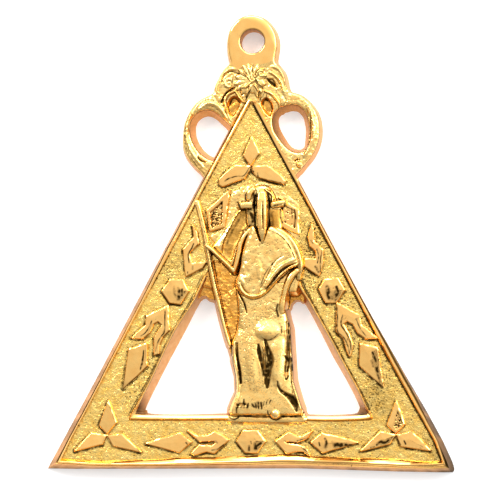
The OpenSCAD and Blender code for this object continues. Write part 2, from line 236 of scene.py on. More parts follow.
# Surfaces and the pieces made of them
def relief(inside, height, box, step, floor=0.0, draft=None, stops=(0.05, 0.15, 0.85),
           kinds=None, painted_shade_and_dirt=None, painted_wall_shade=None):
    """A cast relief. Its front is z = height(x, y) on a square grid, kept where inside(x, y)
    is negative, with the border moved on to the outline. A wall runs from the border down to
    the level back, leaning outwards by draft(x, y) for each millimetre of its height. Its
    creases, where the neighbours' mean height is over a point's own, are painted in shade, and
    the given shade-and-dirt function of x, y and z adds painted shade, and grime where there is any.
    kinds(x, y, z) gives each face's finish. Walls and back are left as cast, with painted shade,
    and the given wall-shade function of x and y is the painted shade at a wall's top, thinning out to its
    foot."""
    xs, ys = (np.arange(box[k], box[k + 2] + step, step) for k in (0, 1))
    p = np.stack(np.meshgrid(xs, ys), -1).reshape(-1, 2)
    kept = inside(p) < SNAP * step
    index = np.arange(len(p)).reshape(len(ys), len(xs))
    quads = np.stack([index[:-1, :-1], index[:-1, 1:], index[1:, 1:], index[1:, :-1]], -1)
    quads = quads.reshape(-1, 4)
    corners = kept[quads].sum(1)
    full, cut = quads[corners == 4], quads[corners == 3]
    odd = kept[cut].argmin(1)
    row = np.arange(len(cut))
    tris = np.stack([cut[row, (odd + k) % 4] for k in (1, 2, 3)], 1)
    edges = np.vstack([full[:, [k, (k + 1) % 4]] for k in range(4)]
                      + [tris[:, [k, (k + 1) % 3]] for k in range(3)])
    there, back = edges[:, 0] * len(p) + edges[:, 1], edges[:, 1] * len(p) + edges[:, 0]
    edges = edges[~np.isin(there, back)]
    used = np.unique(np.concatenate([full.ravel(), tris.ravel()]))
    new = np.full(len(p), -1)
    new[used] = np.arange(len(used))
    p = p[used]
    full, tris, edges = new[full], new[tris], new[edges]

    rim = np.unique(edges)
    bit = 0.15 * step
    for _ in range(3):
        q = p[rim]
        slope = np.stack([inside(q + d) - inside(q - d) for d in bit * np.eye(2)], 1)
        normal = slope / np.maximum(np.linalg.norm(slope, axis=1, keepdims=True), 1e-9)
        p[rim] = q - normal * inside(q)[:, None]
    z = height(p)
    grid = np.full(index.size, np.nan)
    grid[used] = z
    grid = grid.reshape(index.shape)
    around = np.nanmean([np.roll(grid, k, axis) for axis in (0, 1) for k in (-1, 1)], axis=0)
    crease = np.nan_to_num(around - grid).ravel()[used] / step
    fall = z[rim] - floor
    lean = (draft(p[rim]) if draft else np.zeros(len(rim))) * fall
    down = (*stops, 1.0)
    levels = [np.column_stack([p[rim] + normal * (lean * s)[:, None], z[rim] - fall * s]) for s in down]
    co = np.vstack([np.column_stack([p, z]), *levels])
    number = np.full(len(p), -1)
    number[rim] = np.arange(len(rim))
    u, v = edges.T
    walls, above = [], (u, v)
    for k in range(len(levels)):
        below = tuple(len(p) + k * len(rim) + number[e] for e in (u, v))
        walls.append(np.stack([below[0], below[1], above[1], above[0]], 1))
        above = below
    foot = len(p) + (len(levels) - 1) * len(rim)
    flat = levels[-1][:, :2]
    _, _, faces, origin, _, _ = delaunay_2d_cdt(
        [Vector(q) for q in flat.tolist()], [tuple(e) for e in number[edges].tolist()], [], 0, 1e-7)
    first = np.array([o[0] if o else -1 for o in origin])
    fill = first[np.array([f for f in faces if len(f) == 3])]
    fill = fill[(fill >= 0).all(1)]
    fill = np.vstack([part[enclosed(flat[part].mean(1), flat[number[u]], flat[number[v]])]
                      for part in np.array_split(fill, len(fill) * len(edges) // (10 * BATCH) + 1)])
    a, b, c = (flat[fill[:, k]] for k in range(3))
    turn = (b - a)[:, 0] * (c - a)[:, 1] - (b - a)[:, 1] * (c - a)[:, 0]
    fill = np.where((turn > 0)[:, None], fill[:, ::-1], fill) + foot
    # Painted shade: brown in the creases, where the given function says, and at the walls' tops
    painted_shade_and_soil = np.zeros(len(co))
    painted_shade_and_soil[:len(p)] = ease((crease - CREASE_FROM) / CREASE_OVER)
    if painted_shade_and_dirt:
        painted_shade_and_soil[:len(p)] = np.maximum(painted_shade_and_soil[:len(p)], np.clip(painted_shade_and_dirt(p, z), 0, 1))
    top = painted_wall_shade(p[rim]) if painted_wall_shade else WALL_PAINTED_SHADE
    for k, s in enumerate(down):
        begin = len(p) + k * len(rim)
        painted_shade_and_soil[begin:begin + len(rim)] = top * (1 - WALL_FADE * s)
    parts = [(w, AS_CAST_SHADED) for w in (*walls, fill)]
    for f in (full, tris):
        kind = kinds(p[f].mean(1), z[f].mean(1)) if kinds else np.zeros(len(f))
        parts += [(f[kind == k], k) for k in range(4) if (kind == k).any()]
    return co, parts, painted_shade_and_soil


def moulding(edges, closed=True, wave=0.0, seed=1, cast=()):
    """A moulding drawn through lines of equal count, each with its painted shade, and tarnish where
    there is any, one for each edge of its section: points (x, y, z) on a grid of place along it and
    edge across it. Its section is closed, and so are its ends where the line is open. wave adds the
    casting's slight unevenness, and cast names the strips left as cast, with painted shade."""
    co = np.stack([line for line, _ in edges], 1)
    count, across = co.shape[:2]
    for axis in (0, 1, 2):
        place = co[:, :, :2].reshape(-1, 2)
        shift = ripple(place, 1.6, seed + axis) + 2 * ripple(place, 6.0, seed + axis + 3)
        co[:, :, axis] += shift.reshape(count, across) * wave * (co[:, :, 2] > 0.5)
    painted_shade_and_dirt = np.zeros((count, across))
    for k, (_, painted_shade_and_soil) in enumerate(edges):
        painted_shade_and_dirt[:, k] = painted_shade_and_soil
    grid = np.arange(count * across).reshape(count, across)
    nxt = np.roll(grid, -1, 0) if closed else grid[1:]
    here = grid if closed else grid[:-1]
    strips = np.stack([here, np.roll(here, -1, 1), np.roll(nxt, -1, 1), nxt], -1)
    faces = [(strips[:, k], AS_CAST_SHADED if k in cast else OWN) for k in range(across)]
    if not closed:
        faces += [(grid[:1, ::-1], AS_CAST_SHADED), (grid[-1:], AS_CAST_SHADED)]
    return co.reshape(-1, 3), faces, painted_shade_and_dirt.ravel()


def piece(name, parts, finishes, sharp=50, turn_out=False):
    """Makes one closed piece of its parts, in metres, riding on the jewel's body. Each part is
    its points, its faces with the number of their finish, and the painted shade, with any grime or tarnish,
    on its points."""
    co, loops, sizes, kinds, painted_shade_and_soil, base = [], [], [], [], [], 0
    for points, faces, painted_shade_and_dirt in parts:
        co.append(points)
        painted_shade_and_soil.append(painted_shade_and_dirt)
        for f, kind in faces:
            loops.append((f + base).ravel())
            sizes.append(np.full(len(f), f.shape[1]))
            kinds.append(np.full(len(f), kind))
        base += len(points)
    co = np.vstack(co) * MM
    loops, sizes, kinds = (np.concatenate(part) for part in (loops, sizes, kinds))
    starts = np.concatenate([[0], np.cumsum(sizes)[:-1]])
    mesh = bpy.data.meshes.new(name)
    mesh.vertices.add(len(co))
    mesh.vertices.foreach_set("co", co.ravel())
    mesh.loops.add(len(loops))
    mesh.loops.foreach_set("vertex_index", loops.astype(np.int32))
    mesh.polygons.add(len(sizes))
    mesh.polygons.foreach_set("loop_start", starts.astype(np.int32))
    mesh.polygons.foreach_set("material_index", kinds.astype(np.int32))
    mesh.update(calc_edges=True)
    if turn_out:
        bm = bmesh.new()
        bm.from_mesh(mesh)
        bmesh.ops.recalc_face_normals(bm, faces=bm.faces)
        bm.to_mesh(mesh)
        bm.free()
    held = mesh.attributes.new("painted_shade_and_soil", "FLOAT", "POINT")
    held.data.foreach_set("value", np.concatenate(painted_shade_and_soil).astype(np.float32))
    mesh.shade_smooth()
    mesh.set_sharp_from_angle(angle=math.radians(sharp))
    for finish in finishes:
        mesh.materials.append(finish)
    thing = bpy.data.objects.new(name, mesh)
    bpy.context.scene.collection.objects.link(thing)
    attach(thing, "root")
    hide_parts("jewel")
    print(name, "triangles", int((sizes - 2).sum()))
    return thing


# Forms of the raised work
def mound(p, outline, edge, crown, reach, side=5.0):
    """A mound over an outline: a quarter round from the edge's height to the crown's, reach
    millimetres wide, with a steep side outside the outline."""
    d = -signed(p, outline, 1.5)
    return np.where(d > 0, edge + (crown - edge) * dome(d / reach), edge + side * d)


def bar(p, rows, side=5.0, flat=1.0, count=60):
    """A round-topped bar along rows of photograph x, y, height and half width: it falls by
    flat half widths from its middle to its edge, then steeply."""
    rows = np.asarray(rows, float)
    line = spline(np.column_stack([at(rows[:, :2], rows[:, 2]), rows[:, 2:]]), count)
    away, share = beside(p, line[:, :2], 1.5)
    t = share * (count - 1)
    top, half = (np.interp(t, np.arange(count), line[:, k]) for k in (2, 3))
    u = np.clip(away / half, 0, 1)
    return top - half * flat * (1 - np.sqrt(1 - u * u)) - side * np.clip(away - half, 0, None)


def bolster(p, rows, power=2.6, side=5.0):
    """A long rounded form, rows of photograph y, left, right, edge height and crown height:
    across each row it is edge + (crown - edge) * (1 - |u| ** power) ** 0.5."""
    r = np.asarray(rows, float)
    left, right = at(r[:, [1, 0]], r[:, 3]), at(r[:, [2, 0]], r[:, 3])
    up = np.argsort(left[:, 1])
    y = left[up, 1]
    near, far, edge, crown = (
        np.interp(p[:, 1], y, v[up]) for v in (left[:, 0], right[:, 0], r[:, 3], r[:, 4]))
    half = (far - near) / 2
    u = abs(p[:, 0] - (near + far) / 2) / half
    below, above = np.clip(y[0] - p[:, 1], 0, None), np.clip(p[:, 1] - y[-1], 0, None)
    over = np.clip(u - 1, 0, None) * half + below + above
    return edge + (crown - edge) * np.sqrt(1 - np.clip(u, 0, 1) ** power) - side * over


def trace(p, rows, z=FIELD, count=50):
    """A smooth bead along rows of photograph x, y, half width and rise: rise * (1 - u * u) ** 2
    at u half widths from its line. A negative rise is a groove."""
    rows = np.asarray(rows, float)
    line = spline(np.column_stack([at(rows[:, :2], z), rows[:, 2:]]), count)
    away, share = beside(p, line[:, :2], 1.2)
    t = share * (count - 1)
    half, rise = (np.interp(t, np.arange(count), line[:, k]) for k in (2, 3))
    return rise * hump(away / half) ** 2


def draw(z, p, strokes, height, count=50):
    """Adds to the heights z a bead or groove for each stroke, in turn."""
    for rows in strokes:
        z = z + trace(p, rows, height, count)
    return z


def pile(z, p, bars):
    """Lays round-topped bars on the heights z in turn: each is its rows, how far it falls from
    its middle to its edge in half widths, and the radius of the crease it leaves."""
    for rows, flat, soft in bars:
        z = blend_up(z, bar(p, rows, flat=flat), soft)
    return z


def steady(half, rise, *places):
    """The rows of a stroke whose half width and rise stay the same along it."""
    return [(x, y, half, rise) for x, y in places]


def sink(z, p, outline, floor, side=2.0):
    """Sinks an outline to a floor, down sides of a given slope."""
    d = signed(p, outline, 1.0)
    return np.where(d < 0, np.maximum(np.minimum(z, floor), z + side * d), z)


def speckle(p, zone, count, size, depth, seed):
    """Small round pits scattered over an outline, their sizes and depths up to those given."""
    rng = np.random.default_rng(seed)
    low, high = zone.min(0), zone.max(0)
    centres = rng.uniform(low, high, (count * 3, 2))
    centres = centres[signed(centres, zone) < 0][:count]
    radius = size * rng.uniform(0.5, 1, len(centres))
    return pits(p, centres, radius, depth * rng.uniform(0.4, 1, len(centres)))


# Finishes
def colour(code):
    """An sRGB hex value as linear red, green, blue and 1."""
    c = np.array([int(code[k:k + 2], 16) for k in (1, 3, 5)]) / 255
    return (*np.where(c <= 0.04045, c / 12.92, ((c + 0.055) / 1.055) ** 2.4), 1.0)


def node(tree, kind, links=(), **settings):
    """Adds a node, sets its own settings and input sockets, and links (socket, output) pairs."""
    n = tree.nodes.new("ShaderNode" + kind)
    for name, value in settings.items():
        if hasattr(n, name):
            setattr(n, name, value)
        else:
            n.inputs[name.replace("_", " ")].default_value = value
    for socket, output in links:
        tree.links.new(output, n.inputs[socket])
    return n


def gilding(name, tint, rough, grain_mm, grain, swell_mm, swell, specks, clean):
    """Gilt brass: a metal of the gold's colour, with a grain and a swell of real sizes, and
    brown painted for shade, with any grime or tarnish, where the mesh's attribute puts it. Dark
    specks lie where a noise passes the number clean, and more of them in and beside that brown."""
    m = bpy.data.materials.new(name)
    m.use_nodes = True
    t = m.node_tree
    t.nodes.clear()
    place = node(t, "TexCoord").outputs["Object"]
    fine = node(t, "TexNoise", [("Vector", place)], Scale=1 / (grain_mm * MM), Detail=2.0, Roughness=0.6)
    broad = node(t, "TexNoise", [("Vector", place)], Scale=1 / (swell_mm * MM), Detail=2.0, Roughness=0.5)
    bump = node(t, "Bump", [("Height", fine.outputs["Fac"])], Strength=1.0, Distance=grain * MM)
    bump2 = node(t, "Bump", [("Height", broad.outputs["Fac"]), ("Normal", bump.outputs["Normal"])],
                 Strength=1.0, Distance=swell * MM)
    tone = node(t, "ValToRGB", [("Fac", broad.outputs["Fac"])])
    tone.color_ramp.elements[0].position, tone.color_ramp.elements[1].position = 0.35, 0.68
    tone.color_ramp.elements[0].color = colour(tint[0])
    tone.color_ramp.elements[1].color = colour(tint[1])
    # Where brown is painted for shade, with any grime or tarnish, as the mesh's attribute gives it
    held = node(t, "Attribute", attribute_name="painted_shade_and_soil").outputs["Fac"]
    dots = node(t, "TexNoise", [("Vector", place)], Scale=1 / (0.27 * MM), Detail=1.0, Roughness=0.4)
    patch = node(t, "TexNoise", [("Vector", place)], Scale=1 / (7 * MM), Detail=1.0)
    both = node(t, "Math", [(0, patch.outputs["Fac"]), (2, dots.outputs["Fac"])], operation="MULTIPLY_ADD")
    both.inputs[1].default_value = 0.5
    more = node(t, "Math", [(0, held), (2, both.outputs["Value"])], operation="MULTIPLY_ADD")
    more.inputs[1].default_value = 0.4
    where = node(t, "MapRange", [("Value", more.outputs["Value"])],
                 From_Min=clean, From_Max=clean + 0.07, To_Max=specks)
    held = node(t, "Math", [(0, held), (1, where.outputs["Result"])], operation="MAXIMUM").outputs["Value"]
    base = node(t, "Mix", [(0, held), (6, tone.outputs["Color"])], data_type="RGBA")
    base.inputs[7].default_value = colour(SHADE_AND_SOIL_BROWN)
    shine = node(t, "MapRange", [("Value", held)], To_Min=rough, To_Max=0.6)
    coat = node(t, "BsdfPrincipled", [
        ("Base Color", base.outputs[2]), ("Roughness", shine.outputs["Result"]),
        ("Normal", bump2.outputs["Normal"])], Metallic=1.0)
    node(t, "OutputMaterial", [("Surface", coat.outputs["BSDF"])])
    return m


# The brown painted for shade in creases, on walls and in hollows, and for grime and tarnish
SHADE_AND_SOIL_BROWN = "#34240A"
# Buffed bright after gilding, so it mirrors the studio, with the casting's faint unevenness
POLISHED = gilding("polished_gilding", ("#FDC26E", "#FFCB78"), rough=0.12, grain_mm=0.25,
                   grain=0.003, swell_mm=1.6, swell=0.014, specks=0.8, clean=1.08)
# Brushed with a soft brass brush: a fine tooth breaks the mirror up into bright points
BRUSHED = gilding("brushed_gilding", ("#FFCA74", "#FFD886"), rough=0.2, grain_mm=0.24,
                  grain=0.022, swell_mm=1.1, swell=0.02, specks=0.6, clean=0.97)
# Punched all over with a matting tool: a hammered grain about a quarter millimetre across
STIPPLED = gilding("stippled_gilding", ("#FFCB66", "#FFDA80"), rough=0.16, grain_mm=0.26,
                   grain=0.085, swell_mm=1.2, swell=0.06, specks=0.9, clean=0.93)
# The flanks and backs as they left the mould, gilt but never buffed: duller, and painted darker and warmer
# for the shade on the walls
CAST_SHADED = gilding("cast_shaded_gilding", ("#E8A967", "#F4BB7E"), rough=0.4, grain_mm=0.25,
               grain=0.03, swell_mm=1.0, swell=0.05, specks=0.6, clean=1.06)
# The same, painted deeper in tone for the shade on the scrolls' walls and the outer flanks
WARM_CAST_SHADED = gilding("warm_cast_shaded_gilding", ("#E6A052", "#F2B067"), rough=0.4, grain_mm=0.25,
               grain=0.03, swell_mm=1.0, swell=0.05, specks=0.6, clean=1.06)
# Gilding painted duller and browner for the shade inside the sleeve's hollow and beside the bill
PAINTED_HOLLOW_SHADE = gilding("hollow_shade_gilding", ("#D29A44", "#E8B25A"), rough=0.34, grain_mm=0.25,
               grain=0.03, swell_mm=1.1, swell=0.05, specks=0.6, clean=0.95)
# A deep orange painted for the light bounced between the gold walls of the hollows beside the robe
PAINTED_BOUNCE = gilding("painted_bounce_orange", ("#EAA040", "#FDBA5A"), rough=0.16, grain_mm=0.3,
                 grain=0.05, swell_mm=1.3, swell=0.1, specks=0.5, clean=0.95)
BRIGHT, TOOTHED = (POLISHED, CAST_SHADED, PAINTED_BOUNCE), (BRUSHED, CAST_SHADED, PAINTED_BOUNCE, PAINTED_HOLLOW_SHADE)

# The plate and its rims

# Lines round the plate, read off the photograph side by side: left (from the apex down),
# foot (left to right) and right (from the foot up), each with its height
ROUND = {
    "back": (
        0.0, [(249.2, 92.5), (164.2, 250), (95.6, 380)],
        [(47.8, 468.4), (75, 468.9), (200, 468.6), (300, 468.4), (350, 470), (400, 471.6), (444, 472.4)],
        [(453.2, 472.2), (454.8, 469.4), (452.6, 462), (443, 441), (426.6, 411), (409, 381), (374, 320),
         (336.6, 251), (309.6, 200), (256, 102)]),
    "shoulder": (
        2.72, [(247.4, 98), (219.4, 150), (185, 215), (165.8, 250), (141, 300), (114.9, 350), (88.8, 400),
               (67, 441)],
        [(55.5, 463.6), (100, 466.3), (160, 466.2), (220, 465), (280, 464.6), (340, 466.3), (400, 468),
         (430, 468.6)],
        [(449, 468), (441, 449), (417.6, 400), (391, 350), (362.6, 300), (335.2, 250), (308.6, 200),
         (282, 150), (255, 100)]),
    "groove": (
        2.66, [(247.8, 98.6), (219.9, 150), (185.6, 215), (166.6, 250), (141.8, 300), (115.8, 350),
               (89.7, 400), (67.9, 441)],
        [(57, 462.8), (100, 465.4), (160, 465.4), (220, 464.4), (280, 463.4), (340, 464.6), (400, 467),
         (430, 467.2)],
        [(446.4, 466.2), (438.2, 441), (416.2, 400), (389, 350), (361.8, 300), (334.6, 250), (308.2, 200),
         (281.8, 150), (254.8, 100)]),
    "ridge": (
        3.02, [(248.6, 100), (221.4, 150), (187, 215), (168, 250), (143, 300), (116.6, 350), (90.6, 400),
               (69, 441)],
        [(59.6, 461.6), (100, 464.2), (160, 464.4), (220, 463), (280, 461.4), (340, 462.4), (400, 465.4),
         (430, 464.8)],
        [(444.4, 464.4), (436.6, 441), (414.2, 400), (387.4, 350), (360.6, 300), (333.8, 250), (307.4, 200),
         (281.2, 150), (254.4, 100)]),
    "crown": (
        3.02, [(249.6, 102), (223.5, 150), (188.8, 215), (170.2, 250), (143.8, 300), (117.2, 350),
               (91.4, 400), (69.6, 441)],
        [(60.4, 460.8), (100, 463.2), (160, 463.2), (220, 461.6), (280, 459.6), (340, 460.8), (400, 463.8),
         (430, 463.6)],
        [(443, 463), (435.4, 441), (412.4, 400), (385.6, 350), (359, 300), (332.6, 250), (306.4, 200),
         (279, 150), (253, 100.5)]),
    "foot": (
        2.2, [(250.4, 104), (225, 150), (190.2, 215), (172, 250), (145, 300), (119, 350), (92.6, 400),
              (70.6, 441)],
        [(62.4, 458.4), (100, 460.4), (160, 459.2), (220, 456.6), (280, 454.6), (340, 457), (400, 459.6),
         (430, 461.4)],
        [(441, 460.6), (433.4, 441), (410.2, 400), (382.6, 350), (357.2, 300), (330.8, 250), (304.2, 200),
         (277.2, 150), (251.6, 102.5)])}


# How many points each line has on the left side, along the foot and on the right side
SIDES = (190, 170, 190)


def loop_line(name):
    """One of the lines round the plate, with the same count of points on each side. Each side
    runs on to the first point of the next."""
    z, *sides = ROUND[name]
    sides = [side + after[:1] for side, after in zip(sides, sides[1:] + sides[:1])]
    flat = np.vstack([evenly(at(side, z), n + 1)[:-1] for side, n in zip(sides, SIDES)])
    return np.column_stack([flat, np.full(len(flat), z)])


def between(a, b, share):
    """The line at a share of the way from one line to another."""
    return a * (1 - share) + b * share


def sunk(line, z):
    """A line at another height, or at a height for each of its points."""
    return np.column_stack([line[:, :2], np.zeros(len(line)) + z])


back, shoulder, groove, ridge, crown, foot = (loop_line(name) for name in ROUND)
BACK, FOOT = back[:, :2], foot[:, :2]


def by_side(left, foot_side, right):
    """One amount for each side of the plate, along a line round it."""
    return np.repeat([left, foot_side, right], SIDES).astype(float)


# The plate's lower right corner in the photograph
CORNER = (452, 470)
# The right side is plain near the apex, where the crest runs on level with the rim
plain = np.where((BACK[:, 0] > 0.5) & (BACK[:, 1] > 0), 1 - ease((BACK[:, 1] - 8.5) / 2.5), 1)
corner = bell(distance(BACK, CORNER, 0) / 5)
low_right = by_side(0, 0, 1) * ease((-2 - BACK[:, 1]) / 18)
wane = 1 - 0.6 * by_side(1, 0, 0) * bell((BACK[:, 1] + 14.8) / 7)
# Tarnish and painted shade on the flanks: more along the foot and on the left than the right, most at the
# lower right and its corner, and patchy
tarnish_and_painted_shade = by_side(0.4, 0.45, 0.28) + 0.6 * low_right
tarnish_and_painted_shade = np.clip(tarnish_and_painted_shade * (1 + 0.6 * ripple(BACK, 1.1, 71)) + 0.4 * corner, 0, 0.94)
drip = by_side(0, 1, 0) * (0.1 + 0.2 * ripple(FOOT, 3.2, 72))
inward = [between(crown, foot, (share + by_side(0, low, 0) + by_side(0, 1, 0) * share * drip)[:, None])
          for share, low in ((0.3, -0.16), (0.85, -0.55), (1.0, 0.0))]


def rim_line(line, z):
    """A line of the rim at its height, brought level with the crest where the rim is plain."""
    return sunk(line, z * plain + 2.8 * (1 - plain))


# From the back up the flank, over the rim and down to the field: each edge and its painted shade, with some
# tarnish on the flanks
outer_rim = moulding([
    (back, 0.15 + tarnish_and_painted_shade + by_side(0, 0.2, 0)),
    (sunk(between(back, shoulder, 0.03), 0.14), tarnish_and_painted_shade),
    (sunk(between(back, shoulder, 0.9), 2.5), tarnish_and_painted_shade * by_side(0.9, 0.4, 0.9)),
    (rim_line(shoulder, 2.72), (by_side(0.7, 0.3, 0.6) + 0.4 * corner) * plain * wane),
    (rim_line(groove, 2.66), by_side(1.0, 0.4, 1.0) * plain * wane),
    (rim_line(between(groove, ridge, 0.6), by_side(2.92, 2.93, 2.9)),
     (by_side(0.1, 0, 0.3) + 0.45 * low_right) * plain),
    (rim_line(ridge, by_side(3.0, 3.02, 3.03)), 0.35 * low_right),
    (rim_line(between(ridge, crown, 0.5), by_side(3.035, 3.06, 3.06)), 0),
    (rim_line(crown, by_side(3.07, 3.02, 3.05)), 0),
    (sunk(inward[0], by_side(2.92, 2.9, 2.92) * plain + 2.76 * (1 - plain)),
     by_side(0, 0, 1) * (0.95 * (1 - plain) + 0.4 * plain * (1 - low_right))),
    (sunk(inward[1], by_side(2.34, 2.8, 2.34)), by_side(0.4, 0, 1.0) * wane),
    (sunk(inward[2], by_side(2.2, 2.37, 2.2)), by_side(1.0, 0.05, 1.0) * wane),
    (sunk(between(crown, foot, 1.5), 1.9), 0),
    (sunk(between(back, foot, 1.1), 0.04), 0)], wave=0.02, cast=(0, 1, 2, 12, 13))

# Lines beside the windows, from the top down the band and along the sill. Back edge, front
# edge, ridge and foot on the field, read at their own heights
LEFT_WINDOW = {
    "nook": (146, 409),
    "back": [
        (204, 297), (197, 308.5), (185, 332), (165.5, 368.5), (147.2, 405.5), (147.5, 410.5),
        (151.5, 413.6), (185, 414.2), (226, 413.2), (240, 413)],
    "front": [
        (206.8, 276), (193.8, 302), (173.4, 334), (151.3, 380), (137, 409), (136.2, 412.5), (139, 414.8),
        (185, 416), (226, 415.6), (240, 415.6)],
    "ridge": [
        (204.8, 276), (192.1, 302), (171.7, 334), (149.6, 380), (135.8, 407), (131.6, 414.2), (131.4, 417),
        (134.5, 418.4), (185, 418.9), (226, 418.4), (240, 418.4)],
    "foot": [
        (201.8, 276), (189.6, 302), (170.1, 334), (147.8, 380), (133.6, 405), (127.8, 416.5), (127.8, 420),
        (131.5, 421.8), (185, 422.4), (226, 421.8), (240, 421.8)]}
RIGHT_WINDOW = {
    "nook": (360, 412),
    "back": [
        (291, 300), (299.5, 300), (306, 305.5), (320.5, 332), (333, 356.5), (347, 381), (358.5, 404),
        (358.8, 410), (354, 413.6), (330, 414.5), (312, 414.2), (300, 414)],
    "front": [
        (296, 280), (301.5, 291), (309.3, 303), (330.6, 341), (346, 370), (356, 388), (366, 409),
        (367.8, 412.5), (364.5, 415.2), (335, 416.5), (305, 416.4), (295, 416.4)],
    "ridge": [
        (298.2, 279), (303.4, 290.4), (311, 302.6), (332.3, 341), (347.7, 370), (357.7, 388), (368, 409.5),
        (370.6, 414.8), (367, 418), (335, 419.6), (305, 419.2), (295, 419.2)],
    "foot": [
        (300.6, 277), (306, 290), (313, 302.6), (334, 341), (349.4, 370), (359.6, 388), (370, 409.5),
        (373.6, 416.8), (370, 421.2), (335, 422.6), (305, 422), (295, 422)]}


# Over a window rim's top: share of the way from front edge to ridge, height at the sides and
# height along the sill
WINDOW_TOP = [(0.25, 3.03, 2.92), (0.5, 3.07, 3.0), (0.75, 3.08, 3.07), (1.0, 3.07, 3.1)]


def window_rim(rows, seed, count=260):
    """A window's rim: lines read off the photograph at their heights, joined as one section.
    It is a narrow bead down the sides and a slope that rises from the window along the sill,
    and its ends sink into the figure."""
    back, front, ridge, foot = (
        sunk(spline(at(rows[key], z), count), z)
        for key, z in (("back", 0.0), ("front", 2.85), ("ridge", 3.15), ("foot", 2.36)))
    on_side = ease((front[:, 1] - front[:, 1].min() - 1.2) / 1.0)
    nook = bell(distance(back[:, :2], rows["nook"], 0) / 1.6)
    end = 0.6 * ease((np.linspace(0, 1, count) - 0.94) / 0.06)
    tops = [(sunk(between(front, ridge, share), sill + (side - sill) * on_side - end), 0)
            for share, side, sill in WINDOW_TOP]
    # The second value of each edge is painted shade: dark down the sides and in the nook at the bottom
    # corner, lighter along the sill
    return moulding([
        (back, 0),
        (sunk(between(back, front, 0.04), 0.12), 0.12 + 0.3 * nook + 0.15 * (1 - on_side)),
        (sunk(between(back, front, 0.96), 2.7), 0.26 + 0.6 * nook + 0.1 * (1 - on_side)),
        (sunk(front, 2.85 - end), 0.25 + 0.75 * on_side),
        *tops,
        (sunk(between(ridge, foot, 0.7), 2.34), 0.6 + 0.7 * on_side),
        (sunk(between(ridge, foot, 1.2), 1.9), 0),
        (sunk(ridge, 0.05), 0)], closed=False, wave=0.014, seed=seed, cast=(0, 1, 9, 10))


piece("outer_rim", [outer_rim], (POLISHED, WARM_CAST_SHADED), sharp=32, turn_out=True)
piece("left_window_rim", [window_rim(LEFT_WINDOW, 5)], BRIGHT, sharp=32, turn_out=True)
piece("right_window_rim", [window_rim(RIGHT_WINDOW, 9)], BRIGHT, sharp=32, turn_out=True)

OPENING = np.vstack([at(LEFT_WINDOW["ridge"][:-1], FIELD), at(RIGHT_WINDOW["ridge"][::-1], FIELD)[1:],
                     at([(298, 262), (236, 264), (214, 260)], FIELD)])


def field_inside(p):
    """The field reaches under the rims, and is open at the windows."""
    return np.maximum(signed(p, FOOT, 60) - 0.12, -signed(p, OPENING))


def field_height(p):
    """The field: level, with the grain of its stippling and a slow swell."""
    grain = np.random.default_rng(14).normal(0, 1, len(p))
    z = FIELD + 0.009 * grain
    for depth, wave, seed in ((0.03, 0.4, 11), (0.02, 1.3, 12), (0.035, 6.0, 13)):
        z = z + depth * ripple(p, wave, seed)
    return z


# Ornaments

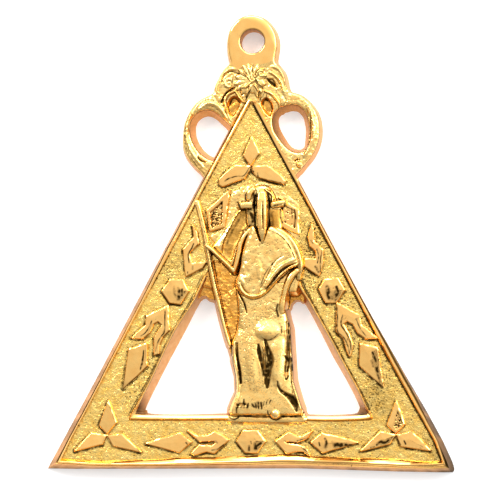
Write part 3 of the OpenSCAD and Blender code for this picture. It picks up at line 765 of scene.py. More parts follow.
# Outlines read off the photograph at the ornaments' faces, clockwise or anticlockwise
ORNAMENTS = {
    "top_leaf": [(251.5, 137), (243.2, 155.5), (250.4, 165), (259, 153)],
    "top_left_leaf": [
        (249.8, 166), (234, 165.6), (226, 172), (219.4, 179), (219.6, 184.4), (222.4, 186), (230, 183.6),
        (244, 178.2), (249, 170.6)],
    "top_right_leaf": [
        (252.7, 166.5), (267.6, 165.6), (277, 172.6), (284.8, 181), (283.4, 183.6), (270, 180.6),
        (257, 176.6), (252.4, 171)],
    "left_low_leaf_up": [(108.2, 401), (116, 422.5), (106.6, 433.5), (99.2, 425.2)],
    "left_low_leaf_left": [(106.3, 435.5), (91, 433.2), (74.4, 451), (101.7, 444)],
    "left_low_leaf_right": [(107.6, 436), (121.8, 434.6), (140.5, 452), (113, 445.6)],
    "right_low_leaf_up": [(396.2, 401), (387, 425), (396, 433.2), (404.6, 424)],
    "right_low_leaf_left": [(395.6, 435), (380.4, 431.6), (360.5, 450.8), (389.5, 444)],
    "right_low_leaf_right": [(397.2, 435), (412, 431.8), (431, 450.8), (401, 446)],
    "left_lozenge": [(146, 443.5), (179, 432.8), (191.2, 442), (179, 452.4)],
    "right_lozenge": [(357.6, 442.4), (321.8, 433), (310.6, 442.2), (322.6, 452.7)],
    "middle_hexagon": [
        (243, 430.6), (258, 430.6), (265, 441.5), (257, 452.6), (245, 452.4), (236.6, 441.6)],
    "left_hexagon": [(170, 279.6), (182.4, 279.6), (188, 290.6), (180, 304), (169.6, 302.6), (162, 291)],
    "right_hexagon": [
        (324.4, 279.4), (338.4, 278), (344.6, 290), (336, 302.4), (325.8, 302.4), (318.8, 289)],
    "left_shard": [(129, 349), (146.4, 343.6), (146.6, 366), (122.6, 388.5)],
    "right_shard": [(360.4, 343.6), (377.4, 348), (383, 386.5), (359.8, 366)],
    "left_quarry": [(229.5, 189.5), (206.6, 210.5), (210, 230.6), (223.6, 226.6)],
    "right_quarry": [(284.5, 201), (298.4, 209.6), (298.6, 234), (281, 226)],
    "left_bent_leaf": [
        (192.5, 225.5), (194.2, 237), (183.2, 249.5), (185.8, 276), (203, 267.5), (206, 262),
        (191.4, 263.5), (188.8, 253), (198, 243.5), (197, 233)],
    "right_bent_leaf": [
        (312, 222.5), (308, 238), (310, 246), (316, 251), (315.5, 259), (305, 259), (304.5, 266),
        (318.5, 275.5), (322.6, 263), (322.5, 249.5), (314, 241)],
    "left_fork": [
        (188.2, 431), (198, 436.5), (207, 435.5), (214, 431.5), (228.6, 440), (214, 453), (206, 451.5),
        (194, 455), (190.5, 453.4), (199, 445.4), (211, 446), (215.5, 443), (214, 440.8), (199, 441.4)],
    "right_fork": [
        (312, 430.6), (303, 436), (297, 437), (288, 432.3), (275, 441), (287, 453.4), (297, 451),
        (303, 451.2), (309.4, 455.4), (306, 448), (297, 445), (287, 443.8), (284, 441), (297, 442.2),
        (306, 439)],
    "left_side_fork": [
        (167.7, 305.6), (146, 315.6), (145.5, 325), (131, 338), (142, 338.6), (149, 333), (153, 324),
        (158, 320.8), (162, 325), (154, 337), (154, 355), (158.4, 353.6), (158.6, 345), (162, 337),
        (168.8, 330)],
    "right_side_fork": [
        (337, 303), (359, 315), (361, 325), (377, 337.8), (366, 338.8), (358, 333), (353, 324),
        (347, 320.6), (343, 324), (349, 334), (352.5, 345), (349.4, 356), (346, 348), (343, 338),
        (336.3, 331)]}
FACE = FIELD + 0.55
# How far each face swells above its edge, where that is more than the rest's
SWELL = {
    "middle_hexagon": 0.13, "left_hexagon": 0.11, "right_hexagon": 0.13, "right_lozenge": 0.14,
    "right_low_leaf_left": 0.13, "right_low_leaf_right": 0.1, "right_low_leaf_up": 0.07,
    "right_shard": 0.07, "left_side_fork": 0.06, "right_side_fork": 0.06}
# How far a face leans: its rise for each millimetre to the right and upwards
LEAN = {
    "left_low_leaf_up": (0.02, 0.07), "left_shard": (0.02, 0.06), "right_shard": (0.02, 0.08),
    "left_low_leaf_left": (-0.03, -0.09), "left_low_leaf_right": (0.0, 0.05),
    "middle_hexagon": (-0.02, 0.03)}
# How far an ornament's foot reaches past its face's outline
SKIRT = 0.38
# The largest pits' radius and depth
PIT = (0.24, 0.2)
# Sunk and pitted faces: the outline that is sunk, its depth and its count of pits
SUNK = {"left_quarry": ([(223, 200.5), (209.4, 212), (211.4, 228), (221.6, 224)], 0.3, 70),
        "right_quarry": ([(286, 206), (295, 210.4), (295, 229), (284.4, 223)], 0.12, 10),
        "right_low_leaf_up": ([(397, 411), (393.6, 425), (396.4, 430.5), (402.4, 423.5)], 0.05, 30)}
# Painted dark reflections on the faces and painted shade beside their edges: strokes of photograph x, y,
# half width and strength
PAINTED_REFLECTIONS_AND_SHADE = {
    "left_hexagon": [
        [(174, 286, .2, .3), (175, 293, .45, .45), (176, 297, .3, .3)],
        [(178, 288, .3, .5), (179.6, 292, .6, .7), (178.6, 299, .5, .8)],
        [(182, 289.6, .35, .9), (182, 295, .4, .9)]],
    "right_hexagon": [
        [(327.4, 287, .5, .8), (328, 292, .6, .9), (329, 298, .45, .8)],
        [(332.6, 292, .4, .4), (333, 298, .5, .7)],
        [(336.6, 287, .4, .8), (338, 292, .5, .9), (335, 297, .5, .8)]],
    "middle_hexagon": [
        [(255, 443.6, .4, .8), (255.6, 448.6, .5, 1)], [(256, 447, .4, .9), (260.6, 443, .4, 1)],
        [(249, 446, .3, .6), (249, 450, .35, .8)], [(251, 441.6, .2, .7), (251.4, 443.6, .2, .6)]],
    "left_lozenge": [steady(.2, .8, (186, 442.6), (187.4, 444.2))],
    "right_lozenge": [
        [(325, 438.6, .3, .7), (326.6, 443, .4, .7), (325.6, 447, .45, .5)],
        [(333, 442, .4, .5), (336.6, 445, .75, 1), (342.6, 444.8, .5, 1), (352, 444.8, .16, .9)],
        [(319, 442.4, .18, .6), (319.8, 445.6, .2, .7)]],
    "right_shard": [
        [(372.6, 352.4, .3, .9), (375.4, 359, .5, .7), (376.6, 367, .5, .8), (378, 375, .36, 1),
         (380, 382, .2, .9)],
        steady(.35, .6, (371.6, 361), (373.4, 366))],
    "left_shard": [
        [(143.8, 350.4, .16, .9), (143, 358, .24, 1), (141.8, 364, .26, 1), (140.2, 369.6, .16, .9)]],
    "right_low_leaf_left": [
        [(371, 448, .2, .8), (374.4, 446.8, .2, .7)],
        [(377, 444.8, .3, .9), (380.6, 442, .4, .9), (385.4, 442.4, .5, 1), (390.4, 438.6, .2, .8)]],
    "right_low_leaf_right": [
        [(397.6, 439.6, .16, .8), (400.8, 445, .16, .7)], [(404.2, 440.8, .18, 1), (405.6, 444, .2, 1)],
        [(416, 450.6, .2, .8), (424, 451.6, .2, .8), (432, 450.6, .16, .7)]],
    "right_low_leaf_up": [
        [(398, 412, .25, .5), (398.6, 420, .6, .45), (396.6, 427, .5, .5)],
        steady(.16, .8, (400.4, 417), (402.4, 423))],
    "top_leaf": [steady(.12, .7, (258.4, 155), (255, 159.6))],
    "top_left_leaf": [
        [(225, 181, .2, 1), (229, 178.4, .2, 1), (237, 176.2, .14, .8), (244, 175.4, .14, .8),
         (250, 166.6, .12, .9)]],
    "top_right_leaf": [
        [(251.4, 169.6, .2, .9), (253.4, 171.8, .25, 1)], [(257.6, 173, .16, .9), (258, 177, .2, .9)],
        [(262, 178.4, .14, .5), (271, 180.6, .16, .6), (281, 182.6, .14, .6)]],
    "left_side_fork": [
        [(151.6, 321, .16, .9), (149.4, 326.6, .2, .9), (145, 333, .16, .9), (141, 336, .14, .7)],
        [(165, 311, .18, 1), (164.8, 322, .16, 1), (164.4, 332, .18, 1), (161, 336.4, .14, .9),
         (157.4, 343, .14, .8), (155.6, 351, .14, .7)]],
    "right_side_fork": [
        [(342.6, 315, .14, .7), (341, 324, .2, 1), (345.6, 332, .18, 1), (349.8, 340, .18, 1),
         (351, 350, .16, 1)],
        [(356.6, 320, .16, 1), (360, 328, .14, .8), (366, 336, .14, .7)],
        [(336.8, 306, .16, 1), (337.4, 318, .2, 1), (337, 331, .25, 1), (343.4, 337, .18, .9),
         (347.6, 345, .16, .8), (349.6, 354, .14, .8)]],
    "left_bent_leaf": [
        [(193.6, 243.6, .18, .9), (191.6, 248.4, .16, 1), (188.4, 254, .16, 1), (189, 262.6, .16, .9)],
        [(192.6, 266, .2, .8), (192.6, 269, .25, .9)], steady(.16, .8, (187.6, 272), (187.8, 273.6))],
    "right_bent_leaf": [
        steady(.18, 1, (311, 240.6), (312.8, 243)),
        [(316.8, 249, .14, .9), (318.6, 256, .14, .8), (317.4, 263, .16, .9)],
        steady(.3, 1, (315.6, 266.6), (318.4, 271.6)),
        [(322, 250.6, .14, .9), (320.4, 261, .16, .9), (320.4, 272, .14, .8)]],
    "left_fork": [
        [(212, 450.2, .16, .9), (217.6, 449, .2, .9), (223.6, 444.6, .14, .7)],
        [(215.4, 440.8, .16, .9), (217.4, 443, .16, .8)]],
    "right_fork": [
        [(301.6, 447.4, .16, .9), (305, 450, .2, 1), (308.4, 452.4, .16, .9)],
        [(297, 440.6, .12, .8), (305, 438.6, .12, .7)]],
    "right_quarry": [
        [(291.6, 208.6, .18, .8), (292.2, 218, .16, .7)],
        [(294.4, 209.6, .2, .9), (295.4, 218, .28, 1), (294.2, 227.6, .25, .9)],
        steady(.2, .8, (286, 206.6), (288, 207.4))]}


def lower_left(p, outline):
    """1 where an outline's edge faces the lower left, 0 where it faces the upper right."""
    step = 0.15
    return 0.5 + 0.5 * (signed(p, outline, 1.5) - signed(p + 0.7 * step, outline, 1.5)) / step


def ornament(name, points, seed, step=0.075):
    """A raised ornament: a slightly swelling face, then a broad gentle bevel where the edge
    faces the upper right and a steep short one at the lower left, and a foot. Painted shade lies
    where the foot meets the field, most of it on the lower left, and in the pits of a sunk face;
    painted dark reflections and shade lie along the strokes listed for it."""
    outline = at(points, FACE)
    middle = outline.mean(0)
    lean = np.array(LEAN.get(name, (0.0, 0.0)))
    sunk_line, deep, count = SUNK.get(name, (None, 0, 0))
    zone = at(sunk_line, FACE) if sunk_line else None

    def inside(p):
        return signed(p, outline, 1.0) - SKIRT + 0.05 * ripple(p, 1.4, seed)

    def height(p):
        d = -signed(p, outline, 1.2) - 0.05 * ripple(p, 1.4, seed)
        lit = ease((0.55 - lower_left(p, outline)) / 0.3)
        bevel = 1.9 - (1.5 + 0.35 * ripple(p, 0.6, seed + 60)) * lit
        rise = (p - middle) @ lean
        face = FACE + SWELL.get(name, 0.03) * ease(d / 1.5) + skin(p, seed, coarse=0.012, fine=0.003) + rise
        edge = FACE + bevel * (d - 0.13 * lit) + rise
        z = np.minimum(face, edge) - 5 * np.clip(-d - 0.14, 0, None)
        if sunk_line:
            z = sink(z, p, zone, FACE - deep, 1.5) + speckle(p, zone, count, *PIT, seed)
        return z

    # Painted shade, most on the lower left and in the pits, and painted dark reflections along the strokes
    def painted_shade_and_dirt(p, z):
        held = (0.1 + lower_left(p, outline)) * (1 - ease((z - 2.52) / 0.25))
        if sunk_line:
            held = np.maximum(held, ease((-speckle(p, zone, count, *PIT, seed) - 0.02) / 0.06))
        for rows in PAINTED_REFLECTIONS_AND_SHADE.get(name, ()):
            stroke = 1.5 * trace(p, rows, FACE, 16) * (0.8 + 0.6 * ripple(p, 0.35, seed))
            held = np.maximum(held, stroke)
        return held

    return relief(inside, height, box_round(outline, 0.6), step, floor=1.7, stops=(0.5,), painted_shade_and_dirt=painted_shade_and_dirt)


piece("ornaments", [ornament(name, points, 20 + k) for k, (name, points) in enumerate(ORNAMENTS.items())],
      BRIGHT, sharp=40)

OUTLINES = [at(points, FACE) for points in ORNAMENTS.values()]

# Grimy places on the field: photograph x, y, reach in millimetres and strength
GRIME = [
    (381, 402, 2.4, .32), (348, 338, 1.6, .25), (305, 246, 2.4, .1), (303, 226, 1.2, .16),
    (213, 189, 1.6, .28), (177, 263, 1.7, .28), (338, 432, 2.4, .12), (420, 428, 3.0, .14),
    (372, 385, 2.6, .18), (436, 452, 2.0, .25), (392, 362, 2.0, .12), (104, 412, 2.0, .1)]
# Painted shade: dark lines on the field at the rims' feet: line, strength, half width and how softly it
# ends.
# They run down the outer rim's left side, where the lower half is fainter, and its right side,
# then down the two windows' rims
FEET = [
    (FOOT[:100], 0.9, 0.03, 0.1),
    (FOOT[100:SIDES[0]], 0.35, 0.03, 0.12),
    (FOOT[SIDES[0] + SIDES[1]:], 1.9, 0.1, 0.08),
    (at(LEFT_WINDOW["foot"][:6], FIELD), 1.0, 0.05, 0.09),
    (at(RIGHT_WINDOW["foot"][:7], FIELD), 1.1, 0.06, 0.09)]


def field_painted_shade_and_grime(p, z):
    """Painted shade on the field along the rims' feet and beside the ornaments, most on their lower left;
    grime in the grimy places, and a little darker towards the right.
    """
    held = np.zeros(len(p))
    for line, strength, wide, soft in FEET:
        away, _ = beside(p, line, 0.6)
        held = np.maximum(held, strength * (1 - ease((away - wide) / soft)))
    for outline in OUTLINES:
        d = signed(p, outline, 1.0)
        near = np.where(d < 0.7)[0]
        shade = (0.05 + lower_left(p[near], outline)) * (1 - ease((d[near] - SKIRT) / 0.14))
        held[near] = np.maximum(held[near], shade)
    grime = np.zeros(len(p))
    for x, y, reach, strength in GRIME:
        grime += strength * bell(distance(p, (x, y)) / reach)
    grime = grime * (1 + 0.6 * ripple(p, 0.9, 16)) + 0.05 * ease((p[:, 0] + 4) / 14)
    return np.maximum(held * (0.8 + 0.5 * ripple(p, 0.8, 15)), grime)


# The field ends below the crest, so its grid does too
FIELD_BOX = (LOW[0], LOW[1], HIGH[0], 25.0)
field = relief(field_inside, field_height, FIELD_BOX, 0.15, painted_shade_and_dirt=field_painted_shade_and_grime)
piece("stippled_field", [field], (STIPPLED, CAST_SHADED), sharp=180)


# Crest, scrolls and loop
CREST_TOP = 2.8
CREST = smooth_ring([
    (253, 15.0), (260, 16.2), (267, 19.4), (273, 25.2), (277.6, 32.4), (280.2, 41), (280.5, 49),
    (279.4, 56), (278.8, 62.5), (282, 67), (286.2, 73), (288.6, 80), (290, 87), (292, 91.6), (297, 93.2),
    (303.6, 95.6), (311.4, 102), (317, 109), (321, 117), (322.8, 126), (323, 136), (321.4, 144.4),
    (318.6, 152), (314, 160), (308, 167.4), (301, 175.5), (292, 178), (272, 142), (252, 108), (230, 142),
    (210, 180), (199.6, 174.5), (193, 168), (187, 160.4), (183.4, 152), (182.4, 144), (182.6, 136),
    (183.6, 127), (186, 119.6), (190, 111.4), (195.6, 104), (201.5, 99.4), (208, 96), (213, 93.4),
    (214.2, 88), (217, 81.4), (220, 75.6), (224, 69.8), (228.8, 65), (228.4, 61), (227.2, 55), (226.7, 48),
    (226.9, 41), (228.8, 32.4), (233, 25.2), (239, 19.4), (246, 16)], 0.2, 700)
RIGHT_EYE = smooth_ring([
    (272.5, 119), (275, 112), (280, 108), (286, 105.5), (292, 104.5), (298, 105.5), (302.5, 109),
    (306, 114), (308, 121), (309, 128), (308.5, 138), (307, 146), (304, 150), (299, 152), (292, 151),
    (286, 147), (281, 141), (276, 134), (273, 127)], CREST_TOP, 160)
LEFT_EYE = smooth_ring([
    (190, 123), (193, 117), (198, 112.5), (205, 110), (212, 111), (218, 114.5), (223, 119), (229, 125),
    (234, 133), (230, 146), (223, 156), (215.5, 160.5), (210, 159.6), (205, 157), (199, 152), (194, 145),
    (190.5, 137), (189.5, 129)], CREST_TOP, 170)
BORE = at((252.2, 41.2), CREST_TOP)
BORE_R = 2.03
# The right eye's inner wall, where it leans out most and where its painted shade is darkest
LEANS_MOST, DARKEST = (283, 128), (279, 122)
# The ringed dot on the left lobe, the curl beside the rosette and the ball on the right scroll
RING, CURL, BALL = (229, 83), (261.5, 73), (299.8, 164.6)
# The photograph's row at which the polished loop gives way to the brushed arms
ARMS_ROW = 62
DEEP = at([(250.5, 124), (222, 176), (279, 176)], 2.0)


def crest_edges(p):
    """Distances outside the crest's outer edge, its eyes, its bore and a cut deep in the plate."""
    return np.stack([signed(p, CREST) + 0.4, -signed(p, RIGHT_EYE), -signed(p, LEFT_EYE),
                     BORE_R - np.linalg.norm(p - BORE, axis=1), -signed(p, DEEP, 60)])


def crest_draft(p):
    """The lean of each of those edges' walls."""
    eye_lean = 0.32
    lean = np.array([0.15, eye_lean, eye_lean, 0.03, 0.0])[crest_edges(p).argmax(0)]
    more = np.clip(1 - distance(p, LEANS_MOST, CREST_TOP) / 2.6, 0, None)
    return lean + 0.2 * (lean == eye_lean) * (p[:, 0] > 0) * more


# The rosette: its petals' tips, its middle and the ridges splashed over it, as photograph x, y,
# half width and rise
PETALS = [
    (238.5, 69), (243, 65), (248, 63.2), (252, 63.6), (257.5, 64), (263.4, 67.6), (266.6, 75), (265.5, 84),
    (262, 92), (257.6, 98), (252, 93), (246.5, 97.5), (241, 94), (236, 90), (233.6, 84), (235.2, 76)]
MIDDLE = (251.5, 80.5)
SPLASH = [
    [(251, 81, .22, .25), (247, 76, .2, .15), (243, 72, .14, .05)],
    [(250, 83, .2, .2), (246, 86.6, .34, .35), (242.6, 87.6, .2, .15)],
    [(252, 82, .3, .25), (254.6, 80, .3, .25), (258, 80.6, .2, .1)],
    [(254.6, 85, .22, .25), (258.4, 91, .22, .3), (261, 97, .16, .15)],
    [(250.6, 86, .2, .2), (248.6, 91.6, .22, .25), (245.6, 96, .16, .15)],
    [(256.6, 82, .2, .15), (260.6, 86.6, .24, .2), (264.6, 90, .16, .1)],
    [(252, 79, .14, .15), (250.6, 72, .18, .15), (249.6, 66, .14, .1)],
    [(256, 77, .14, .15), (257.6, 72, .2, .2), (262, 68.6, .2, .2), (265.6, 72.6, .2, .15)]]


def rosette(p):
    """Petals round a splash of ridges: a swell over a lobed outline, with a groove between
    each two petals."""
    tips, centre = at(PETALS, 3.1), at(MIDDLE, 3.1)
    notches = centre + 0.84 * ((tips + np.roll(tips, -1, 0)) / 2 - centre)
    outline = spline(np.stack([tips, notches], 1).reshape(-1, 2), 220, closed=True)
    d = -signed(p, outline, 1.0)
    z = np.where(d > 0, 2.85 + 0.34 * dome(d / 0.9), 2.85 + 2.5 * d) + skin(p, 34, coarse=0.03, fine=0.02)
    for notch in notches:
        away, share = beside(p, np.array([centre + 0.42 * (notch - centre), notch]), 0.5)
        depth = 0.11 if notch[1] > centre[1] + 0.4 else 0.05
        z = z - depth * hump(away / (0.1 + 0.06 * share))
    return draw(z, p, SPLASH, 3.1, 12)


# Ridges and grooves of the crest and the scrolls: photograph x, y, half width and rise
CREST_RIDGES = [
    [(308, 108, .35, .2), (312, 118, .45, .28), (313.5, 128, .5, .3), (313, 138, .45, .3),
     (309, 148, .4, .28), (304, 156, .3, .2)],
    [(199, 109, .3, .1), (206, 104, .5, .3), (214, 104, .55, .34), (221, 109.5, .5, .3),
     (226, 117, .4, .25), (229, 123, .3, .2)],
    [(198, 105, .35, .1), (192, 113, .35, .2), (188, 122, .3, .24), (186.8, 132, .3, .24),
     (187.5, 142, .3, .22), (191, 151, .35, .2), (197, 160, .4, .2), (203, 167, .3, .1)],
    [(270, 72, .3, .25), (276, 76, .35, .35), (281, 82, .4, .38), (283.5, 91, .35, .25)],
    [(265, 91, .25, .3), (272, 94, .35, .4), (277.5, 100, .38, .42), (280, 107, .3, .3),
     (275, 118, .3, .2)],
    [(234.5, 91, .3, .35), (228, 94.5, .38, .42), (225, 100, .36, .42), (226, 107, .33, .36),
     (228, 114, .3, .3), (230, 120, .25, .2)],
    [(236, 92, .25, .3), (240, 98, .3, .42), (244, 102, .25, .3)],
    [(257, 88, .25, .3), (260, 95, .3, .4), (259, 101, .25, .2)],
    [(238, 69, .3, .2), (229, 69.5, .4, .3), (222, 76, .4, .3), (219, 84, .4, .3), (217, 92, .3, .2)],
    [(272, 66, .3, .1), (279, 69, .4, .3), (284, 77, .4, .3), (287, 86, .35, .3), (288, 92, .3, .2)],
    [(203.5, 98.5, .3, 0), (210, 99, .35, .1), (216, 100.5, .3, .05)]]
CREST_GROOVES = [
    [(239, 74, .16, -.08), (231, 71.6, .2, -.08), (224.5, 75.5, .2, -.06), (221.6, 82, .2, -.06)],
    [(235, 87.5, .2, -.2), (230, 89.8, .22, -.26), (224.5, 95.5, .22, -.26), (221, 103, .2, -.2)],
    [(310, 112, .2, -.1), (310.6, 122, .2, -.2), (310.4, 133, .22, -.25), (309, 142, .2, -.25),
     (305.5, 151, .2, -.2)],
    [(283, 95, .25, -.1), (285.5, 101, .25, -.16), (283, 106, .2, -.1)],
    steady(.25, -.08, (214, 96.5), (218, 102.5)),
    [(294.6, 161, .18, -.3), (297, 159.4, .18, -.3), (300, 160, .15, -.2)],
    [(198, 157.5, .18, -.25), (202, 161, .2, -.3), (206, 161.6, .18, -.25)]]
NECK = smooth_ring([
    (220, 12), (222, 40), (226, 60), (233, 68), (239, 71), (252, 68), (266, 65), (274, 62), (283, 55),
    (287, 40), (287, 12), (254, 6)], CREST_TOP, 80)
LEAF_LEFT = smooth_ring([
    (234, 95.6), (239.4, 98.6), (241, 103), (238, 110), (233.6, 117), (228.6, 114), (226.6, 106),
    (229, 99)], 2.7, 60)
LEAF_RIGHT = smooth_ring([
    (265, 97), (269.4, 99), (272.8, 104), (273.4, 110), (270.6, 117), (266, 114), (261.6, 108),
    (260.4, 102)], 2.7, 60)
HOLLOW = smooth_ring([(267, 79), (272, 78), (276, 83), (278, 88), (273, 87), (268, 82)], 2.7, 50)
# The crest's hollows, the height of each one's floor and the slope of its sides
HOLLOWS = [(LEAF_LEFT, 2.02, 2.2), (LEAF_RIGHT, 2.02, 2.2), (HOLLOW, 2.3, 1.6)]
PLATE_EDGE = at([(249.5, 96), (47, 471), (456, 471)], 1.5)


def loop_height(p, outer, bore):
    """The loop: flat, with a quarter round at its edge, wider on the side where the ring wore
    it, and a slight fall into the bore. outer and bore are the distances inside its edges."""
    from_bore = np.linalg.norm(p - BORE, axis=1)
    worn_side = ease(((p - BORE) @ [0.64, 0.77] / np.maximum(from_bore, 0.1) - 0.45) / 0.45)
    loop = 2.42 + 0.46 * dome(outer / (0.55 + 0.7 * worn_side)) ** 0.8 - 0.14 * (1 - ease(bore / 0.2))
    return loop + 0.004 * ripple(p, 3.0, 32)


def crest_height(p):
    """The loop's flat, the scrolls' rounded arms and the crest's ridges, beads and hollows."""
    outer, right_eye, left_eye, bore, _ = -crest_edges(p)
    rounded = dome(np.minimum(outer, np.minimum(right_eye, left_eye)) / 0.62)
    arms = 2.35 + 0.42 * rounded + skin(p, 31, coarse=0.055, fine=0.045)
    z = draw(arms, p, CREST_RIDGES + CREST_GROOVES, CREST_TOP)
    ring = distance(p, RING, 2.9)
    z = z + 0.17 * hump((ring - 0.68) / 0.28)
    z = z + 0.1 * hump(ring / 0.3)
    plain = ease(0.5 - signed(p, NECK) / 0.9)
    z = blend_up(z * (1 - plain) + loop_height(p, outer, bore) * plain, rosette(p), 0.06)
    curl = distance(p, CURL, 3.2)
    z = z + 0.16 * hump((curl - 0.42) / 0.17)
    ball = distance(p, BALL, 3.0)
    z = np.maximum(z, 2.75 + np.sqrt(np.clip(0.3 - ball ** 2, 0, None)) - 4 * np.clip(ball - 0.5, 0, None))
    for outline, floor, side in HOLLOWS:
        z = sink(z, p, outline, floor + 0.12 * ripple(p, 0.7, 36), side)
    return np.where(signed(p, PLATE_EDGE, 60) < -0.55, np.minimum(z, 2.15), z)


# Painted shade in the crest's grooves and hollows: photograph x, y, half width and strength
CREST_DARK = [
    [(316, 107, .14, .5), (319.6, 116, .16, 1), (321, 128, .16, 1), (320.8, 139, .16, 1),
     (318.4, 149, .16, 1), (313, 158, .16, 1), (306, 167.5, .16, 1), (300, 173, .16, .9)],
    [(234, 88, .2, 1), (229, 90, .26, 1), (224.6, 95, .24, 1), (221, 101.6, .2, .9)],
    [(267, 79, .4, 1), (272, 83, .45, .9), (276.6, 87, .2, .7)],
    [(253, 64.6, .14, 1), (252.8, 70, .14, 1), (253.4, 76.6, .14, .9)],
    [(255, 77.6, .2, .9), (258, 83, .24, .9), (262.8, 88.6, .18, .8)],
    [(258, 87, .14, .8), (260, 93.6, .16, .8), (260.4, 99.4, .12, .6)],
    [(250.4, 90.6, .14, .8), (247.6, 95, .18, .9), (246, 99.6, .18, .9)],
    [(243.6, 66.6, .12, .7), (239.6, 69.4, .14, .7)],
    [(241.6, 69.4, .1, .6), (244.6, 74, .12, .6), (248.4, 79.6, .12, .6)],
    [(231, 71.4, .14, .7), (236, 73, .18, .9), (240, 74.4, .14, .7)],
    [(221.4, 76.6, .12, .7), (224.6, 73.6, .12, .6)],
    [(232.6, 78.8, .16, .8), (233, 83, .16, .8), (230, 87.4, .14, .6), (225.6, 86.6, .12, .4)],
    [(257.6, 69, .14, .7), (255.6, 73, .14, .7), (257.6, 77.4, .12, .6)],
    steady(.16, .9, (264, 93.4), (261.4, 97.4)), [(266.6, 94.4, .12, .8), (266, 98.6, .12, .7)],
    [(266, 76, .14, .7), (261, 79, .12, .6)],
    [(229.6, 104, .25, .7), (231.6, 99.4, .22, .9), (235, 98, .2, .9), (239.6, 102.6, .2, .9)],
    [(262.4, 104, .2, .7), (264.6, 99.4, .3, .9), (269, 101.6, .3, .9), (272, 108.6, .2, .8)],
    [(240, 104.6, .14, .5), (237, 110.4, .14, .6), (233.6, 116, .14, .6)],
    steady(.14, .6, (227.4, 106), (229.6, 113)),
    [(241, 86.6, .12, .6), (240.6, 92, .14, .7), (243, 98, .12, .6)],
    [(305, 104.5, .12, .5), (310, 110, .14, .7), (312, 118, .12, .5)],
    [(274.6, 88.6, .12, .4), (279.6, 97, .14, .6), (280.6, 104.6, .14, .7)],
    [(190, 113, .12, .5), (186, 124, .14, .7), (184.8, 136, .14, .8), (186, 147, .14, .7),
     (190.6, 157, .14, .7), (197, 166, .14, .7)],
    [(190, 104.6, .12, .4), (198, 99.6, .16, .8), (206, 96.6, .12, .4)]]


def crest_painted_shade(p, z):
    """Painted shade in the crest's grooves and hollows, on its low places and along the outer edge of its
    arms.
    """
    held = 1.6 * np.max([trace(p, rows, CREST_TOP) for rows in CREST_DARK], axis=0)
    held = held * (0.85 + 0.5 * ripple(p, 0.35, 37))
    return np.maximum(held, (0.1 + 0.25 * ripple(p, 0.5, 35)) * (z < 2.35))


def crest_painted_wall_shade(p):
    """Painted shade on the walls: more in the bore and most on the inner wall of the right eye."""
    inner = bell(distance(p, DARKEST, CREST_TOP) / 3.4)
    edge = crest_edges(p).argmax(0)
    right_eye = 1
    return np.array([0.16, 0.25, 0.12, 0.5, 0.1])[edge] + 0.45 * inner * (edge == right_eye)


def crest_kinds(p, z):
    """The loop is polished and the arms are brushed; the two leaf hollows are painted deep orange for the
    light bounced between their walls.
    """
    leaf = np.minimum(signed(p, LEAF_LEFT), signed(p, LEAF_RIGHT)) < -0.08
    arms = (signed(p, NECK) > -0.3) & (p[:, 1] < at((0, ARMS_ROW), CREST_TOP)[1])
    return np.select([z < 1.6, leaf, arms], [AS_CAST_SHADED, BOUNCE_TINTED, OTHER], OWN)


crest = relief(lambda p: crest_edges(p).max(0), crest_height, box_round(CREST, 1), 0.085, floor=0.02,
               draft=crest_draft, kinds=crest_kinds, painted_shade_and_dirt=crest_painted_shade, painted_wall_shade=crest_painted_wall_shade)
piece("crest_and_loop", [crest], (POLISHED, WARM_CAST_SHADED, PAINTED_BOUNCE, BRUSHED), sharp=55)

# The figure

# The web's edges at the windows, read at their own heights, and hidden under the field elsewhere
WEB = np.vstack(
    [at([(193.8, 197), (195.5, 215), (198.5, 236), (202, 258), (203, 272)], 2.4), at([(197.5, 292)], 2.4),
     at([(199.6, 299.5), (202, 297.2), (205, 296.1), (207.8, 296.7), (210, 299)], 0.3),
     at([
         (214.5, 300), (218, 309.5), (222, 323), (225.5, 336), (228, 347), (231.6, 359.5), (234.8, 376),
         (235.2, 393), (233.2, 399.5), (228.6, 409), (228.4, 415)], 3.2),
     at([(227, 426), (308, 426)], 2.2),
     at([
         (305.5, 416), (303, 410), (300.5, 403.5), (297, 392), (293.6, 381), (293, 364.5), (291.6, 348),
         (290.5, 328), (287.6, 316.5), (286, 311)], 3.3),
     at([(290.5, 309), (292.2, 304), (296, 300.5), (300.5, 300.5), (304.5, 303.2)], 0.3),
     at([
         (304.5, 292), (304, 278), (309, 250), (304, 225), (300, 200), (290, 185), (262, 177),
         (222, 186)], 2.4)])
LEFT_TOP = at([(195, 304), (199.6, 300), (205, 296.1), (208, 297), (211, 301)], 0.3)
RIGHT_TOP = at([(290.5, 311), (292.2, 304), (296, 300.5), (300.5, 300.5), (305, 303.5), (308, 309)], 0.3)
CORE = at([(201, 268), (216, 262), (300, 270), (306, 300), (304, 412), (226, 412), (200, 300)], 2.5)


def web(p):
    """The level web behind the figure, and its fall to the windows' tops."""
    base = np.where(signed(p, CORE) < 0, 2.2 + skin(p, 46, coarse=0.07, fine=0.05), 2.15)
    for line in (LEFT_TOP, RIGHT_TOP):
        away, _ = beside(p, line, 3.2)
        base = np.minimum(base, 0.3 + 2.5 * np.sin(math.pi / 2 * np.clip(away / 3.0, 0, 1)) ** 1.1)
    return base


